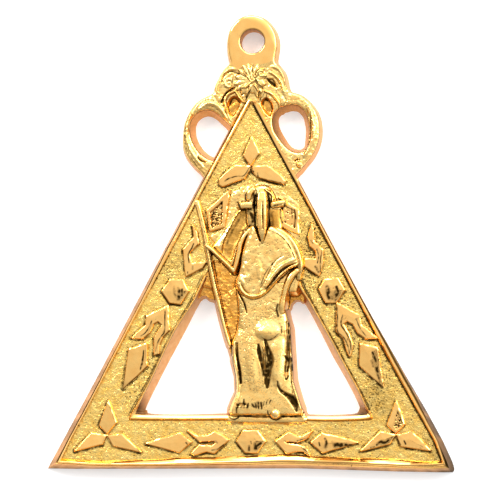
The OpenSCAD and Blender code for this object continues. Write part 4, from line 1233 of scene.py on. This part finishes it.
# The robe, row by row: photograph y, left, right, edge height and crown height
ROBE = [
    (284, 236, 288, 3.2, 4.1), (300, 238, 285, 3.3, 4.12), (314, 239, 286.5, 3.3, 4.15),
    (330, 237, 290.3, 3.3, 4.19), (342, 232, 291.2, 3.2, 4.22), (360, 232, 292.6, 3.2, 4.28),
    (376, 236, 293.6, 3.2, 4.32), (392, 236.5, 297, 3.2, 4.37), (402, 232, 300, 3.2, 4.4),
    (409, 229, 302.5, 3.1, 4.4), (413.4, 229, 302.5, 3.05, 4.3), (415.2, 230, 302, 2.9, 3.7),
    (416.6, 231, 301, 2.5, 2.7), (423, 233, 299, 2.3, 2.35)]
CLOAK = smooth_ring([
    (252, 226), (262, 227), (272, 226.5), (280, 231), (286.5, 236.5), (292, 244.5), (296.5, 254.5),
    (299, 262), (297, 266), (289, 269.5), (281, 277), (274, 285.5), (267, 293), (259, 298), (251, 299),
    (244, 296), (238.5, 290), (236, 283), (238.5, 275), (241, 266), (242, 256), (244.5, 244.5),
    (248, 234)], 4.2, 200)
HOOD = smooth_ring([
    (249, 193), (254, 187), (262, 185), (268.5, 187), (273.5, 194), (277, 202), (282, 209), (283, 220),
    (280, 228), (272, 229), (262, 231), (252, 229), (247, 225), (246, 212), (246.5, 201)], 3.4, 140)
PANEL = smooth_ring([
    (231, 196), (242, 186), (256, 182), (270, 183.6), (281, 190), (291, 197.6), (299, 206), (300.4, 222),
    (300, 237), (297, 244), (280, 232), (262, 230), (240, 224), (226, 240), (216, 243), (211, 236),
    (224, 227)], 2.5, 120)
SLEEVE = smooth_ring([
    (240, 207), (230, 221), (219, 237), (212, 246), (216, 251), (224, 258), (233, 268), (238, 256),
    (243, 240), (252, 228), (253, 212), (247, 206)], 3.0, 120)
SLEEVE_HOLLOW = smooth_ring([
    (221.6, 252), (223.6, 240), (230, 227), (238, 213), (246, 208.4), (253.5, 211), (253.5, 221),
    (246, 228), (241, 237), (236, 248), (232, 260), (226, 258)], 3.0, 100)
# The bill, in rows like the robe's
BILL = [
    (189.5, 259.8, 263.8, 4.8, 5.1), (192.5, 258, 265.8, 5.1, 5.6), (200, 257.2, 266.6, 5.4, 5.9),
    (215, 257.1, 266.6, 5.6, 6.1), (226, 257.5, 266.3, 5.5, 6.0), (234, 259.1, 265.3, 5.2, 5.7),
    (240, 260.9, 263.9, 4.9, 5.2), (243.5, 261.9, 262.7, 4.7, 4.9)]


# Folds, then creases: photograph x, y, half width and rise
ROBE_FOLDS = [
    [(281, 336, .9, .1), (279, 346, 1.5, .3), (278, 360, 1.5, .36), (277, 374, 1.3, .4),
     (277, 383, .9, .2)],
    [(252, 335, .8, .1), (251, 352, 1.2, .25), (252, 372, 1.2, .25), (254, 388, 1.0, .1)],
    [(233.5, 343, .35, .25), (234, 359, .4, .3), (237.5, 374, .35, .3), (238.5, 390, .35, .25),
     (235.5, 402, .45, .35), (232.5, 411, .5, .4), (233, 417, .5, .3)],
    [(289.5, 322, .22, .2), (290.3, 345, .25, .3), (291.4, 365, .25, .32), (292.6, 382, .3, .35),
     (297, 396, .4, .4), (301, 408, .45, .4)],
    [(263.4, 347, .16, .2), (264.4, 356, .2, .34), (265, 366, .18, .3), (265.4, 374, .14, .1)],
    [(258.4, 345, .3, -.2), (259.4, 353, .5, -.35), (261, 360, .45, -.35), (262.6, 368, .3, -.3)],
    [(265, 340, .3, -.3), (267.4, 349, .5, -.45), (270.2, 360, .8, -.5), (268, 370, .7, -.5),
     (267, 380, .7, -.45), (267.4, 387, .4, -.2)],
    [(236.8, 343, .16, -.3), (237.6, 358, .22, -.4), (239.6, 370, .26, -.45), (241, 383, .2, -.3)],
    [(286.5, 322, .25, -.2), (287.8, 340, .3, -.25), (287.8, 357, .42, -.5), (286.5, 368, .42, -.45),
     (286, 379, .3, -.2)],
    [(277.8, 382, .2, -.15), (280, 390, .35, -.3), (286, 394.6, .45, -.45), (291.6, 398.6, .75, -.6),
     (295, 405, .6, -.5), (296.6, 411, .3, -.2)],
    [(237, 405, .3, -.2), (245, 404.5, .3, -.3)],
    [(235, 288, .2, -.3), (239, 294, .22, -.4), (244, 303, .2, -.35), (246.5, 313, .16, -.2)]]
HOOD_FOLDS = [
    [(252, 188.5, .3, .4), (248.3, 193.5, .3, .6), (247, 199, .28, .4)],
    [(266, 190, .3, .3), (272.5, 195, .35, .5), (272.5, 201, .3, .4)],
    [(279, 197, .28, .3), (285, 201.4, .32, .4), (280.5, 206.4, .28, .3)]]
CLOAK_FOLDS = [
    [(282.5, 256, .2, -.08), (275, 261, .2, -.13), (270, 269.5, .2, -.15), (265.5, 279, .2, -.15),
     (261, 287, .2, -.13), (258, 293, .2, -.08)],
    [(297, 262.5, .2, -.12), (288.5, 265.8, .22, -.2), (280.5, 271.5, .22, -.22), (274, 279.5, .22, -.22),
     (267, 288, .22, -.2), (262, 293, .2, -.1)],
    [(241.5, 285, .2, -.12), (244.5, 290, .2, -.16), (249, 294, .2, -.1)],
    [(295.5, 258.5, .4, .2), (288, 262, .5, .3), (279.5, 267.5, .5, .32), (272, 276.5, .5, .32),
     (266, 286, .4, .25)],
    [(239, 284, .35, .2), (242, 291, .4, .32), (249, 296, .42, .42), (257.5, 296, .4, .45),
     (265.5, 291, .36, .4), (273, 283, .36, .4), (280.5, 275, .36, .38), (289, 268, .34, .3),
     (296.5, 264.6, .3, .2)],
    [(257.5, 260, .45, .08), (259, 267, .7, .16), (259, 277, .45, .1)],
    [(240.6, 278, .4, .1), (243, 283, .5, .16)]]
# The dark channels on both sides of the bill
BESIDE_THE_BILL = [
    [(255.4, 196, .3, -1.2), (254.8, 205, .4, -1.3), (255.6, 213, .34, -1.4), (256, 225, .36, -1.5),
     (258.4, 233, .3, -1.5), (260.8, 241, .2, -1.0)],
    [(266.6, 193, .2, -.7), (268.6, 201, .3, -1.0), (267.6, 213, .24, -1.0), (268.2, 225, .4, -1.2),
     (266, 233, .28, -1.2), (263.8, 241, .18, -.9)]]
# Round-topped bars: photograph x, y, height and half width of each place, then how far the bar
# falls from its middle to its edge in half widths, and the radius of the crease it leaves
HEAD_BARS = [
    ([(252.6, 189.6, 3.7, .42), (249.6, 193, 3.8, .5), (248.8, 197.6, 3.7, .42)], 0.5, 0.05),
    ([(240.4, 205.4, 3.9, .5), (246, 205, 4.0, .52), (252, 205, 3.9, .5)], 0.4, 0.05),
    ([(272.6, 204.8, 3.9, .46), (278, 203.8, 4.0, .5), (283.6, 203, 3.9, .46)], 0.4, 0.05)]
NAPE_BARS = [([(276.4, 209, 3.5, .75), (276.4, 218, 3.65, .75), (277, 227, 3.7, .75)], 0.5, 0.25)]
CLOAK_BARS = [
    ([(271, 227.6, 4.2, .3), (280, 231.4, 4.3, .42), (288, 237.6, 4.35, .44), (294.4, 246.6, 4.3, .44),
      (298.4, 257, 4.2, .44), (300, 267, 4.1, .42), (298.4, 278, 3.8, .36)],
     0.6, 0.08),
    ([(296.5, 270.5, 4.4, .42), (291, 276, 4.6, .5), (286.6, 284.5, 4.6, .42), (283.6, 296, 4.5, .42),
      (282, 305, 4.5, .52), (281.6, 311.5, 4.2, .5)],
     1.0, 0.1)]
ARM_BARS = [
    ([(207.5, 246.6, 4.1, .3), (212, 250, 4.2, .25), (219, 256.6, 4.2, .21), (227, 264, 4.25, .22),
      (233.4, 270.6, 4.3, .26)],
     0.8, 0.08),
    ([(233.6, 270.8, 4.3, .24), (236.2, 263, 4.4, .3), (238.4, 254, 4.5, .31), (240.2, 244, 4.55, .31),
      (244.2, 235.6, 4.5, .3), (250.6, 228.6, 4.3, .26)],
     0.7, 0.08)]
STAFF = [
    (196.8, 202, 3.3, .38), (200.4, 217, 3.5, .38), (204, 233, 3.65, .37), (207.2, 250, 3.8, .36),
    (210.3, 266.5, 3.75, .34), (213.8, 284, 3.65, .31), (217.8, 300, 3.6, .28), (221.8, 317, 3.55, .26),
    (225.3, 331, 3.5, .25), (229.5, 345, 3.5, .24)]
HEM_FOOT = [
    (222, 418.4, 2.7, .5), (232, 418.6, 2.98, .55), (246, 419, 2.98, .58), (262, 419.4, 2.9, .55),
    (284, 419.3, 2.95, .55), (299, 419, 3.0, .55), (311, 418.8, 2.7, .5)]
# Nicks beside the bars at the head, each with the height it is read at
HEAD_NICKS = [(3.9, [(237.6, 203.4, .2, -.3), (239, 205.2, .2, -.3)]),
              (4.0, [(274, 205.4, .12, -.14), (282, 204, .12, -.14)])]
BILL_CREASE = [(262.4, 202, .14, -.1), (262.6, 214, .22, -.26), (262.8, 229, .16, -.16)]
STAFF_SEAM = [(197.6, 206, .1, -.06), (205, 233, .1, -.08), (211.2, 266, .1, -.08), (218.4, 300, .08, -.06)]
KNEE, WORN_HEM, HEM_BEAD = (267, 329), (246, 276), (275.2, 413.6)
# Rows of the photograph: the robe is smooth below the first, the webs' low ends are painted in shade above
# the second, and painted deep orange for light bounced between walls above the third
SMOOTH_ROW, SHADED_ROW, BOUNCE_TINT_ROW = 350, 400, 408
UNDER_CLOAK = at([(272, 282), (298, 264), (300, 278), (296, 292), (280, 292)], 3.4)


def robe_height(p):
    """The robe: a long rounded form with a bulging knee, its folds, and a rubbed skin."""
    knee = p - at(KNEE, 4.5)
    bulge = np.clip(1 - ((knee / [2.25, 1.95]) ** 2).sum(1), 0, 1) ** 1.2
    robe = bolster(p, ROBE, power=4.6) + bulge * (0.5 - 0.28 * knee[:, 1])
    robe = draw(robe, p, ROBE_FOLDS, 4.2)
    upper = ease((p[:, 1] - at((0, SMOOTH_ROW), 4.2)[1]) / 2.5)
    robe = robe + skin(p, 41, coarse=0.01, fine=0.006) * (1 + 2.2 * upper)
    robe = robe + 0.02 * ripple(p, 3.2, 42)
    return robe + speckle(p, RUBBED, count=300, size=0.16, depth=0.09, seed=47)


def cloak_height(p):
    """The cloak: a steep mound with its folds, rougher where its hem is worn, and pitted."""
    cloak = draw(mound(p, CLOAK, edge=4.2, crown=4.9, reach=1.3), p, CLOAK_FOLDS, 5.0)
    worn = bell(distance(p, WORN_HEM, 4.9) / 2.8)
    cloak = cloak + worn * (0.09 * ripple(p, 0.9, 61) + 0.05 * ripple(p, 0.45, 62))
    cloak = cloak + skin(p, 43, coarse=0.05, fine=0.016) + 0.05 * ripple(p, 2.4, 44)
    return cloak + speckle(p, CLOAK, count=90, size=0.2, depth=0.1, seed=49)


def lay_sleeve(z, p):
    """Lays the sleeve on the heights z and hollows it, down a quarter round 0.8 mm wide."""
    sleeve = mound(p, SLEEVE, edge=2.44, crown=3.05, reach=1.5, side=2.0)
    z = blend_up(z, sleeve + skin(p, 54, coarse=0.05, fine=0.02), 0.25)
    d = -signed(p, SLEEVE_HOLLOW, 1.0)
    return z - 0.55 * dome(d / 0.8) * (d > 0)


def lay_head(z, p):
    """Lays on the heights z the panel behind the head, the hood with its folds, and its bars."""
    panel = mound(p, PANEL, edge=2.4, crown=2.54, reach=1.5, side=0.4)
    z = blend_up(z, panel + skin(p, 52, coarse=0.07, fine=0.035), 0.1)
    hood = mound(p, HOOD, edge=2.9, crown=3.6, reach=1.4, side=3.0)
    z = blend_up(z, hood + skin(p, 48, coarse=0.03, fine=0.012), 0.2)
    z = pile(draw(z, p, HOOD_FOLDS, 3.6), p, HEAD_BARS)
    for height, rows in HEAD_NICKS:
        z = z + trace(p, rows, height)
    return pile(z, p, NAPE_BARS)


def figure_height(p):
    """The robed figure, form over form: web, robe, sleeve, cloak, hood, bill, arm and staff."""
    z = blend_up(web(p), robe_height(p), 0.15)
    z = blend_up(z, mound(p, UNDER_CLOAK, edge=3.2, crown=3.5, reach=0.8, side=2.0), 0.1)
    hem = bar(p, HEM_FOOT, side=0.8, flat=0.5)
    z = blend_up(z, hem + skin(p, 55, coarse=0.05, fine=0.02), 0.15)
    z = lay_head(lay_sleeve(z, p), p)
    z = pile(blend_up(z, cloak_height(p), 0.12), p, CLOAK_BARS)
    z = draw(z, p, BESIDE_THE_BILL, 3.8)
    z = np.maximum(z, bolster(p, BILL, power=7.0, side=9.0) + trace(p, BILL_CREASE, 6.0))
    z = pile(z, p, ARM_BARS)
    z = blend_up(z, bar(p, STAFF, flat=0.6) + trace(p, STAFF_SEAM, 3.7), 0.06)
    away = distance(p, HEM_BEAD, 4.2)
    bead = 3.85 + 1.05 * np.sqrt(np.clip(0.8 - away ** 2, 0, None)) - 5 * np.clip(away - 0.88, 0, None)
    return np.maximum(z, bead) + 0.002 * ripple(p, 0.45, 45)


def figure_draft(p):
    """Steeper walls beside the staff, leaning ones under the webs."""
    return np.where(p[:, 0] < 1.5, 0.24, 0.14)


# Painted shade in the folds, grooves and gaps: photograph x, y, half width and strength, with the height it
# is read at
DARK = [
    (3.9, [(264.6, 340.6, .2, .9), (266.8, 347, .5, 1), (268.4, 353, .75, 1), (270.4, 360, .9, 1),
           (268.4, 368, .85, 1), (267, 376, .9, 1), (267, 383, .85, 1), (267.4, 387.4, .5, .8)]),
    (3.9, [(258.4, 345, .3, .9), (259.2, 352, .6, 1), (260.8, 360, .5, 1), (262.4, 367, .36, 1),
           (264, 375, .4, .9)]),
    (4.0, [(263, 346, .3, .35), (264.6, 358, .3, .4), (265, 368, .25, .4)]),
    (4.0, [(288, 323, .25, .8), (288.8, 337, .28, 1), (288.6, 350, .25, .9)]),
    (4.0, [(284.6, 331, .26, .3), (285.4, 342, .28, .42), (285.4, 352, .28, .5)]),
    (4.0, [(283.6, 355.6, .25, .8), (287, 358, .55, 1), (288.4, 364, .42, 1), (287.4, 371, .36, 1)]),
    (4.0, [(284.4, 375, .25, .8), (286.4, 379.4, .3, .9), (288.4, 376, .25, .8)]),
    (3.9, [(291.2, 358, .22, .9), (291.8, 370, .2, .9), (291.4, 383, .2, .9)]),
    (4.1, steady(.2, .7, (281.4, 327), (281.6, 333))),
    (3.8, [(235.4, 342, .14, .8), (236, 352, .2, .9), (237.4, 362, .24, 1), (239.2, 373, .27, 1),
           (240.4, 384, .22, .9)]),
    (3.9, [(277.6, 381, .16, .9), (279, 388, .34, 1), (284, 393, .42, 1), (288.6, 396.6, .6, 1),
           (292.4, 399, .95, 1), (295, 404.6, .8, 1), (296.6, 411, .36, .9)]),
    (4.2, [(277.6, 304, .25, .9), (276.6, 310, .4, 1), (278, 316, .34, .9)]),
    (4.0, [(290.6, 386, .16, .6), (292.6, 393, .2, .7)]),
    (3.9, [(233.6, 286, .16, .9), (238.6, 293.6, .2, 1), (243, 302, .16, .7), (246.6, 313, .2, 1)]),
    (4.4, [(261, 337, .12, .4), (267, 340, .16, .7), (273, 338.4, .16, .7), (279.4, 333, .14, .5)]),
    (3.4, [(290.4, 335, .16, .9), (291.6, 350, .16, .9), (293.4, 366, .16, .9), (294.6, 381, .16, .9),
           (299, 397, .16, .8), (302.4, 409, .16, .8)]),
    (3.4, [(232, 345, .14, .8), (233.4, 362, .16, .9), (235.6, 378, .16, .9), (235.4, 392, .16, .9),
           (231.6, 402, .16, .9), (228.4, 410, .16, .9)]),
    (3.8, [(256.6, 190, .16, .9), (255.6, 197, .3, 1), (254.4, 204, .6, 1), (256, 211, .36, 1),
           (255.8, 222, .45, 1), (257.2, 229, .42, 1), (259.4, 236, .36, 1), (260.8, 242, .24, 1)]),
    (3.8, [(265.8, 192.4, .26, 1), (268.2, 199, .42, 1), (269.4, 206, .42, 1), (267.2, 213, .3, 1),
           (268.2, 222, .42, 1), (268.6, 228, .55, 1), (266.2, 234, .42, 1), (264, 241, .24, 1)]),
    (6.0, [(262.4, 204, .12, .3), (262.6, 214, .16, .5), (262.8, 228, .12, .4)]),
    (3.3, [(210, 252, .14, .8), (218, 259, .16, 1), (226, 266.4, .16, 1), (233, 273.6, .2, 1)]),
    (4.0, [(230.6, 267, .12, .8), (234.4, 257, .14, .9), (236.6, 246, .14, .9), (240.6, 236.6, .14, .9),
           (247, 229, .12, .8)]),
    (4.1, [(238.6, 268, .1, .6), (241.6, 258, .13, .8), (243, 246, .14, .8), (247, 237, .14, .9),
           (252.6, 232.6, .12, .8)]),
    (4.0, [(240.6, 241, .14, .8), (243.6, 233.4, .16, .9), (249, 227.6, .14, .8)]),
    (4.2, [(270, 230.6, .12, .5), (278, 234, .16, .9), (285.4, 240.4, .2, 1), (291.4, 249.4, .2, 1),
           (295, 258.6, .16, .9)]),
    (4.8, [(281, 256.6, .12, .5), (273.6, 262.6, .14, .8), (267, 270.6, .14, .8), (262.6, 280, .14, .8),
           (259.6, 290.6, .12, .6)]),
    (4.6, [(296, 263.4, .14, .8), (288, 267, .2, 1), (280.4, 273.2, .18, 1), (273.8, 281.6, .16, 1),
           (267, 290, .14, .9)]),
    (3.6, [(249.6, 187.6, .16, .9), (245.8, 193, .26, 1), (244.6, 199.6, .22, .9)]),
    (3.8, [(255.4, 190, .25, .6), (253, 196, .3, .7), (251.4, 200, .22, .6)]),
    (3.8, [(236.8, 201.4, .2, .8), (239, 204.8, .34, 1), (240.4, 208.4, .2, .8)]),
    (3.6, [(240.6, 209.8, .2, .8), (246, 209, .26, .8), (252, 210, .25, .8)]),
    (3.4, [(248.6, 211, .5, .6), (252.6, 217, .6, .8), (252, 223, .4, .7), (246, 228.6, .25, .7),
           (239.6, 231, .2, .6)]),
    (3.2, [(242.6, 212, .3, .4), (238.6, 219, .35, .5), (231.6, 231, .4, .45), (226.6, 243, .35, .5)]),
    (3.9, [(285.4, 201.2, .14, .8), (284, 206.4, .2, .9), (280, 208.8, .18, .8), (272, 208.8, .18, .7)]),
    (3.9, steady(.12, .7, (273, 206), (281.6, 205))),
    (3.4, [(271.4, 212, .45, .5), (272, 219, .5, .55), (273, 226, .4, .4)]),
    (3.0, [(280.4, 210, .2, .7), (280.8, 218, .2, .7), (284.6, 225.6, .2, .7), (291, 230.4, .2, .7),
           (298.6, 233.4, .2, .8)]),
    (3.2, [(201, 217, .12, .5), (206.6, 240, .12, .7), (211.4, 262, .14, .9), (216, 284, .14, .9),
           (221, 304, .14, .9), (226.4, 328, .14, .8)]),
    (3.2, [(193.6, 206, .14, .7), (199.6, 229, .2, .9), (205.4, 256, .22, 1), (209.6, 277, .16, 1)]),
    (3.6, [(195.6, 205, .14, .4), (201.6, 228, .18, .5), (208.6, 260, .18, .5), (213, 284, .12, .4)]),
    (3.2, [(228.2, 412, .2, .9), (229.6, 417.4, .2, .9), (234, 419.4, .2, .9), (238.6, 417.4, .2, .8)]),
    (3.2, [(238, 415.6, .18, .7), (252, 415.2, .18, .7), (266, 415.4, .18, .6)]),
    (3.2, [(283, 415.4, .18, .7), (292, 416.8, .18, .7), (302, 417, .18, .8)]),
    (4.2, [(286, 236.6, .3, .15), (294, 247, .36, .3), (299, 260, .36, .34), (299.6, 272, .34, .36),
           (298, 280, .3, .3)]),
    (3.9, [(268, 410.6, .16, .9), (268.6, 415, .22, 1), (272, 418.8, .2, 1), (277, 419.4, .2, 1),
           (281.6, 416, .16, .8)]),
    (3.9, [(236.6, 407.6, .2, .8), (236.8, 413, .16, .8)])]
# Painted shade in the gaps between the toes: photograph x, y from and to. They are narrow from NARROW_FROM
# on
NARROW_FROM = 263
TOES = [
    (237.4, 407.6, 240.2, 403), (241, 407.4, 243.4, 404), (244.2, 407, 244.2, 399.6),
    (247.6, 407.6, 248.6, 403.6), (252.4, 404, 254.6, 407.4), (256, 403.6, 256.4, 408),
    (258.4, 402.6, 259, 408.4), (261.4, 403, 262, 408.6), (264.4, 401.6, 263.6, 406),
    (267.6, 400, 266.4, 404.6), (271, 400, 269.4, 404)]
# Where the robe is rubbed and pitted
RUBBED = at([
    (240, 302), (274, 298), (282, 318), (254, 322), (256, 345), (250, 384), (240, 378), (238, 320)], 4.2)


def figure_painted_shade(p, z):
    """Painted shade in the folds, between the toes, in the sleeve's hollow and over the webs' low ends."""
    held = np.max([trace(p, rows, height) * (1 - ease((z - height - 0.55) / 0.3))
                   for height, rows in DARK], axis=0)
    for x, y, x2, y2 in TOES:
        wide = 0.34 if x < NARROW_FROM else 0.17
        stroke = [(x, y, wide, .8), ((x + x2) / 2, (y + y2) / 2, wide, 1), (x2, y2, .6 * wide, .8)]
        held = np.maximum(held, trace(p, stroke, 3.9, 10))
    held = 1.6 * held * (0.85 + 0.5 * ripple(p, 0.35, 50))
    patchy = 0.9 + 0.8 * ripple(p, 1.2, 51) + 0.6 * ripple(p, 0.45, 52)
    hollow = 0.2 * ease(-signed(p, SLEEVE_HOLLOW, 1.0) / 0.5) * patchy
    low = 0.55 * ease((2.2 - z) / 0.9) * (p[:, 1] > at((0, SHADED_ROW))[1])
    return np.maximum(np.maximum(held, hollow), low)


BILL_POCKET = at([(269.6, 209.6), (280.6, 209.6), (280.4, 227), (268.6, 228)], 3.5)


def figure_kinds(p, z):
    """The webs' low ends are painted deep orange for bounced light; the sleeve's hollow and the one beside
    the bill are painted browner for shade.
    """
    webs = (z < 2.42) & (p[:, 1] > at((0, BOUNCE_TINT_ROW))[1])
    in_sleeve = (signed(p, SLEEVE_HOLLOW, 1.0) < -0.1) & (z < 3.0)
    by_bill = (signed(p, BILL_POCKET, 1.0) < 0) & (z < 3.75)
    return np.select([in_sleeve | by_bill, webs], [OTHER, BOUNCE_TINTED], OWN)


# Painted shade of 0.3 at the top of every wall
figure = relief(lambda p: signed(p, WEB, 3.0), figure_height, box_round(WEB, 1), 0.085,
                draft=figure_draft, kinds=figure_kinds, painted_shade_and_dirt=figure_painted_shade, painted_wall_shade=lambda p: 0.3)
piece("figure", [figure], TOOTHED, sharp=55)


# Camera, light and floor
def lamp(name, place, size, watts, tone="#FFFFFF", toward=(0, 0, 0)):
    """A soft box at a place, facing the jewel. All in millimetres but the power."""
    light = bpy.data.lights.new(name, "AREA")
    light.shape = "RECTANGLE"
    light.size, light.size_y = size[0] * MM, size[1] * MM
    light.energy = watts
    light.color = colour(tone)[:3]
    thing = bpy.data.objects.new(name, light)
    spot = Vector(place) * MM
    aim = Vector(toward) * MM - spot
    thing.matrix_world = Matrix.Translation(spot) @ aim.to_track_quat("-Z", "Y").to_matrix().to_4x4()
    bpy.context.scene.collection.objects.link(thing)
    return thing


camera = bpy.data.cameras.new("camera")
camera.lens, camera.sensor_width, camera.sensor_fit = LENS, SENSOR, "HORIZONTAL"
camera.clip_start, camera.clip_end = 0.01, 20.0
viewer = bpy.data.objects.new("camera", camera)
turn = Matrix([[*RIGHT], [*UP], [*TOWARD]]).transposed().to_4x4()
viewer.matrix_world = Matrix.Translation(Vector(AIM + REACH * TOWARD) * MM) @ turn
bpy.context.scene.collection.objects.link(viewer)
bpy.context.scene.camera = viewer

paper = bpy.data.materials.new("white_paper")
paper.use_nodes = True
sheet = paper.node_tree.nodes["Principled BSDF"].inputs
sheet["Base Color"].default_value = colour("#E4E4E4")
sheet["Roughness"].default_value = 0.9
sheet["Emission Color"].default_value = colour("#FFFFFF")
sheet["Emission Strength"].default_value = 0.3
floor_mesh = bpy.data.meshes.new("floor")
half = 2.0
corners = [(-half, -half, 0), (half, -half, 0), (half, half, 0), (-half, half, 0)]
floor_mesh.from_pydata(corners, [], [(0, 1, 2, 3)])
floor_mesh.materials.append(paper)
floor = bpy.data.objects.new("floor", floor_mesh)
bpy.context.scene.collection.objects.link(floor)

# The studio: an even ceiling, brighter towards the loop's end and the right, dim below, with
# a dark place overhead where the photographer stands, which the folds' hollows mirror
world = bpy.data.worlds.new("studio")
bpy.context.scene.world = world
world.use_nodes = True
sky = world.node_tree
sky.nodes.clear()
way_out = node(sky, "TexCoord").outputs["Generated"]
facing = node(sky, "VectorMath", [("Vector", way_out)], operation="NORMALIZE")
slope = node(sky, "VectorMath", [("Vector", facing.outputs["Vector"])], operation="DOT_PRODUCT")
slope.inputs[1].default_value = Vector((0.42, 0.80, 0.43)).normalized()
place = node(sky, "MapRange", [("Value", slope.outputs["Value"])], From_Min=-1.0, From_Max=1.0)
shade = node(sky, "ValToRGB", [("Fac", place.outputs["Result"])])
ramp = shade.color_ramp
# The air's level from its dimmest side, 0, to its brightest, 1, as shares of its full strength
FULL = 2.0
LEVELS = [(0.10, 0.36), (0.45, 0.58), (0.58, 0.82), (0.70, 0.96), (0.79, 1.04), (0.87, 1.5), (0.96, 2.1)]
for where, level in LEVELS:
    stop = ramp.elements[0] if where == LEVELS[0][0] else ramp.elements.new(where)
    stop.position, stop.color = where, (level / FULL, level / FULL, level / FULL, 1)
ramp.elements.remove(ramp.elements[-1])
flag = node(sky, "VectorMath", [("Vector", facing.outputs["Vector"])], operation="DOT_PRODUCT")
flag.inputs[1].default_value = Vector(TOWARD)
hidden = node(sky, "MapRange", [("Value", flag.outputs["Value"])], From_Min=math.cos(math.radians(7.4)),
              From_Max=math.cos(math.radians(3.6)), To_Min=FULL, To_Max=0.2)
air = node(sky, "Background", [("Color", shade.outputs["Color"]), ("Strength", hidden.outputs["Result"])])
node(sky, "OutputWorld", [("Surface", air.outputs["Background"])])


def softbox(name, way, reach, size, radiance):
    """A soft box in a direction from the jewel: its power is radiance * pi * area."""
    way = np.array(way) / np.linalg.norm(way)
    lamp(name, way * reach, size, radiance * math.pi * size[0] * size[1] * MM * MM)


softbox("key_box", (-0.55, 0.55, 0.63), 800, (240, 240), 19)
softbox("right_box", (0.74, 0.40, 0.58), 800, (640, 280), 6)
softbox("back_box", (0.05, 0.88, 0.48), 900, (520, 380), 6)
bpy.context.scene.view_settings.view_transform = "Standard"
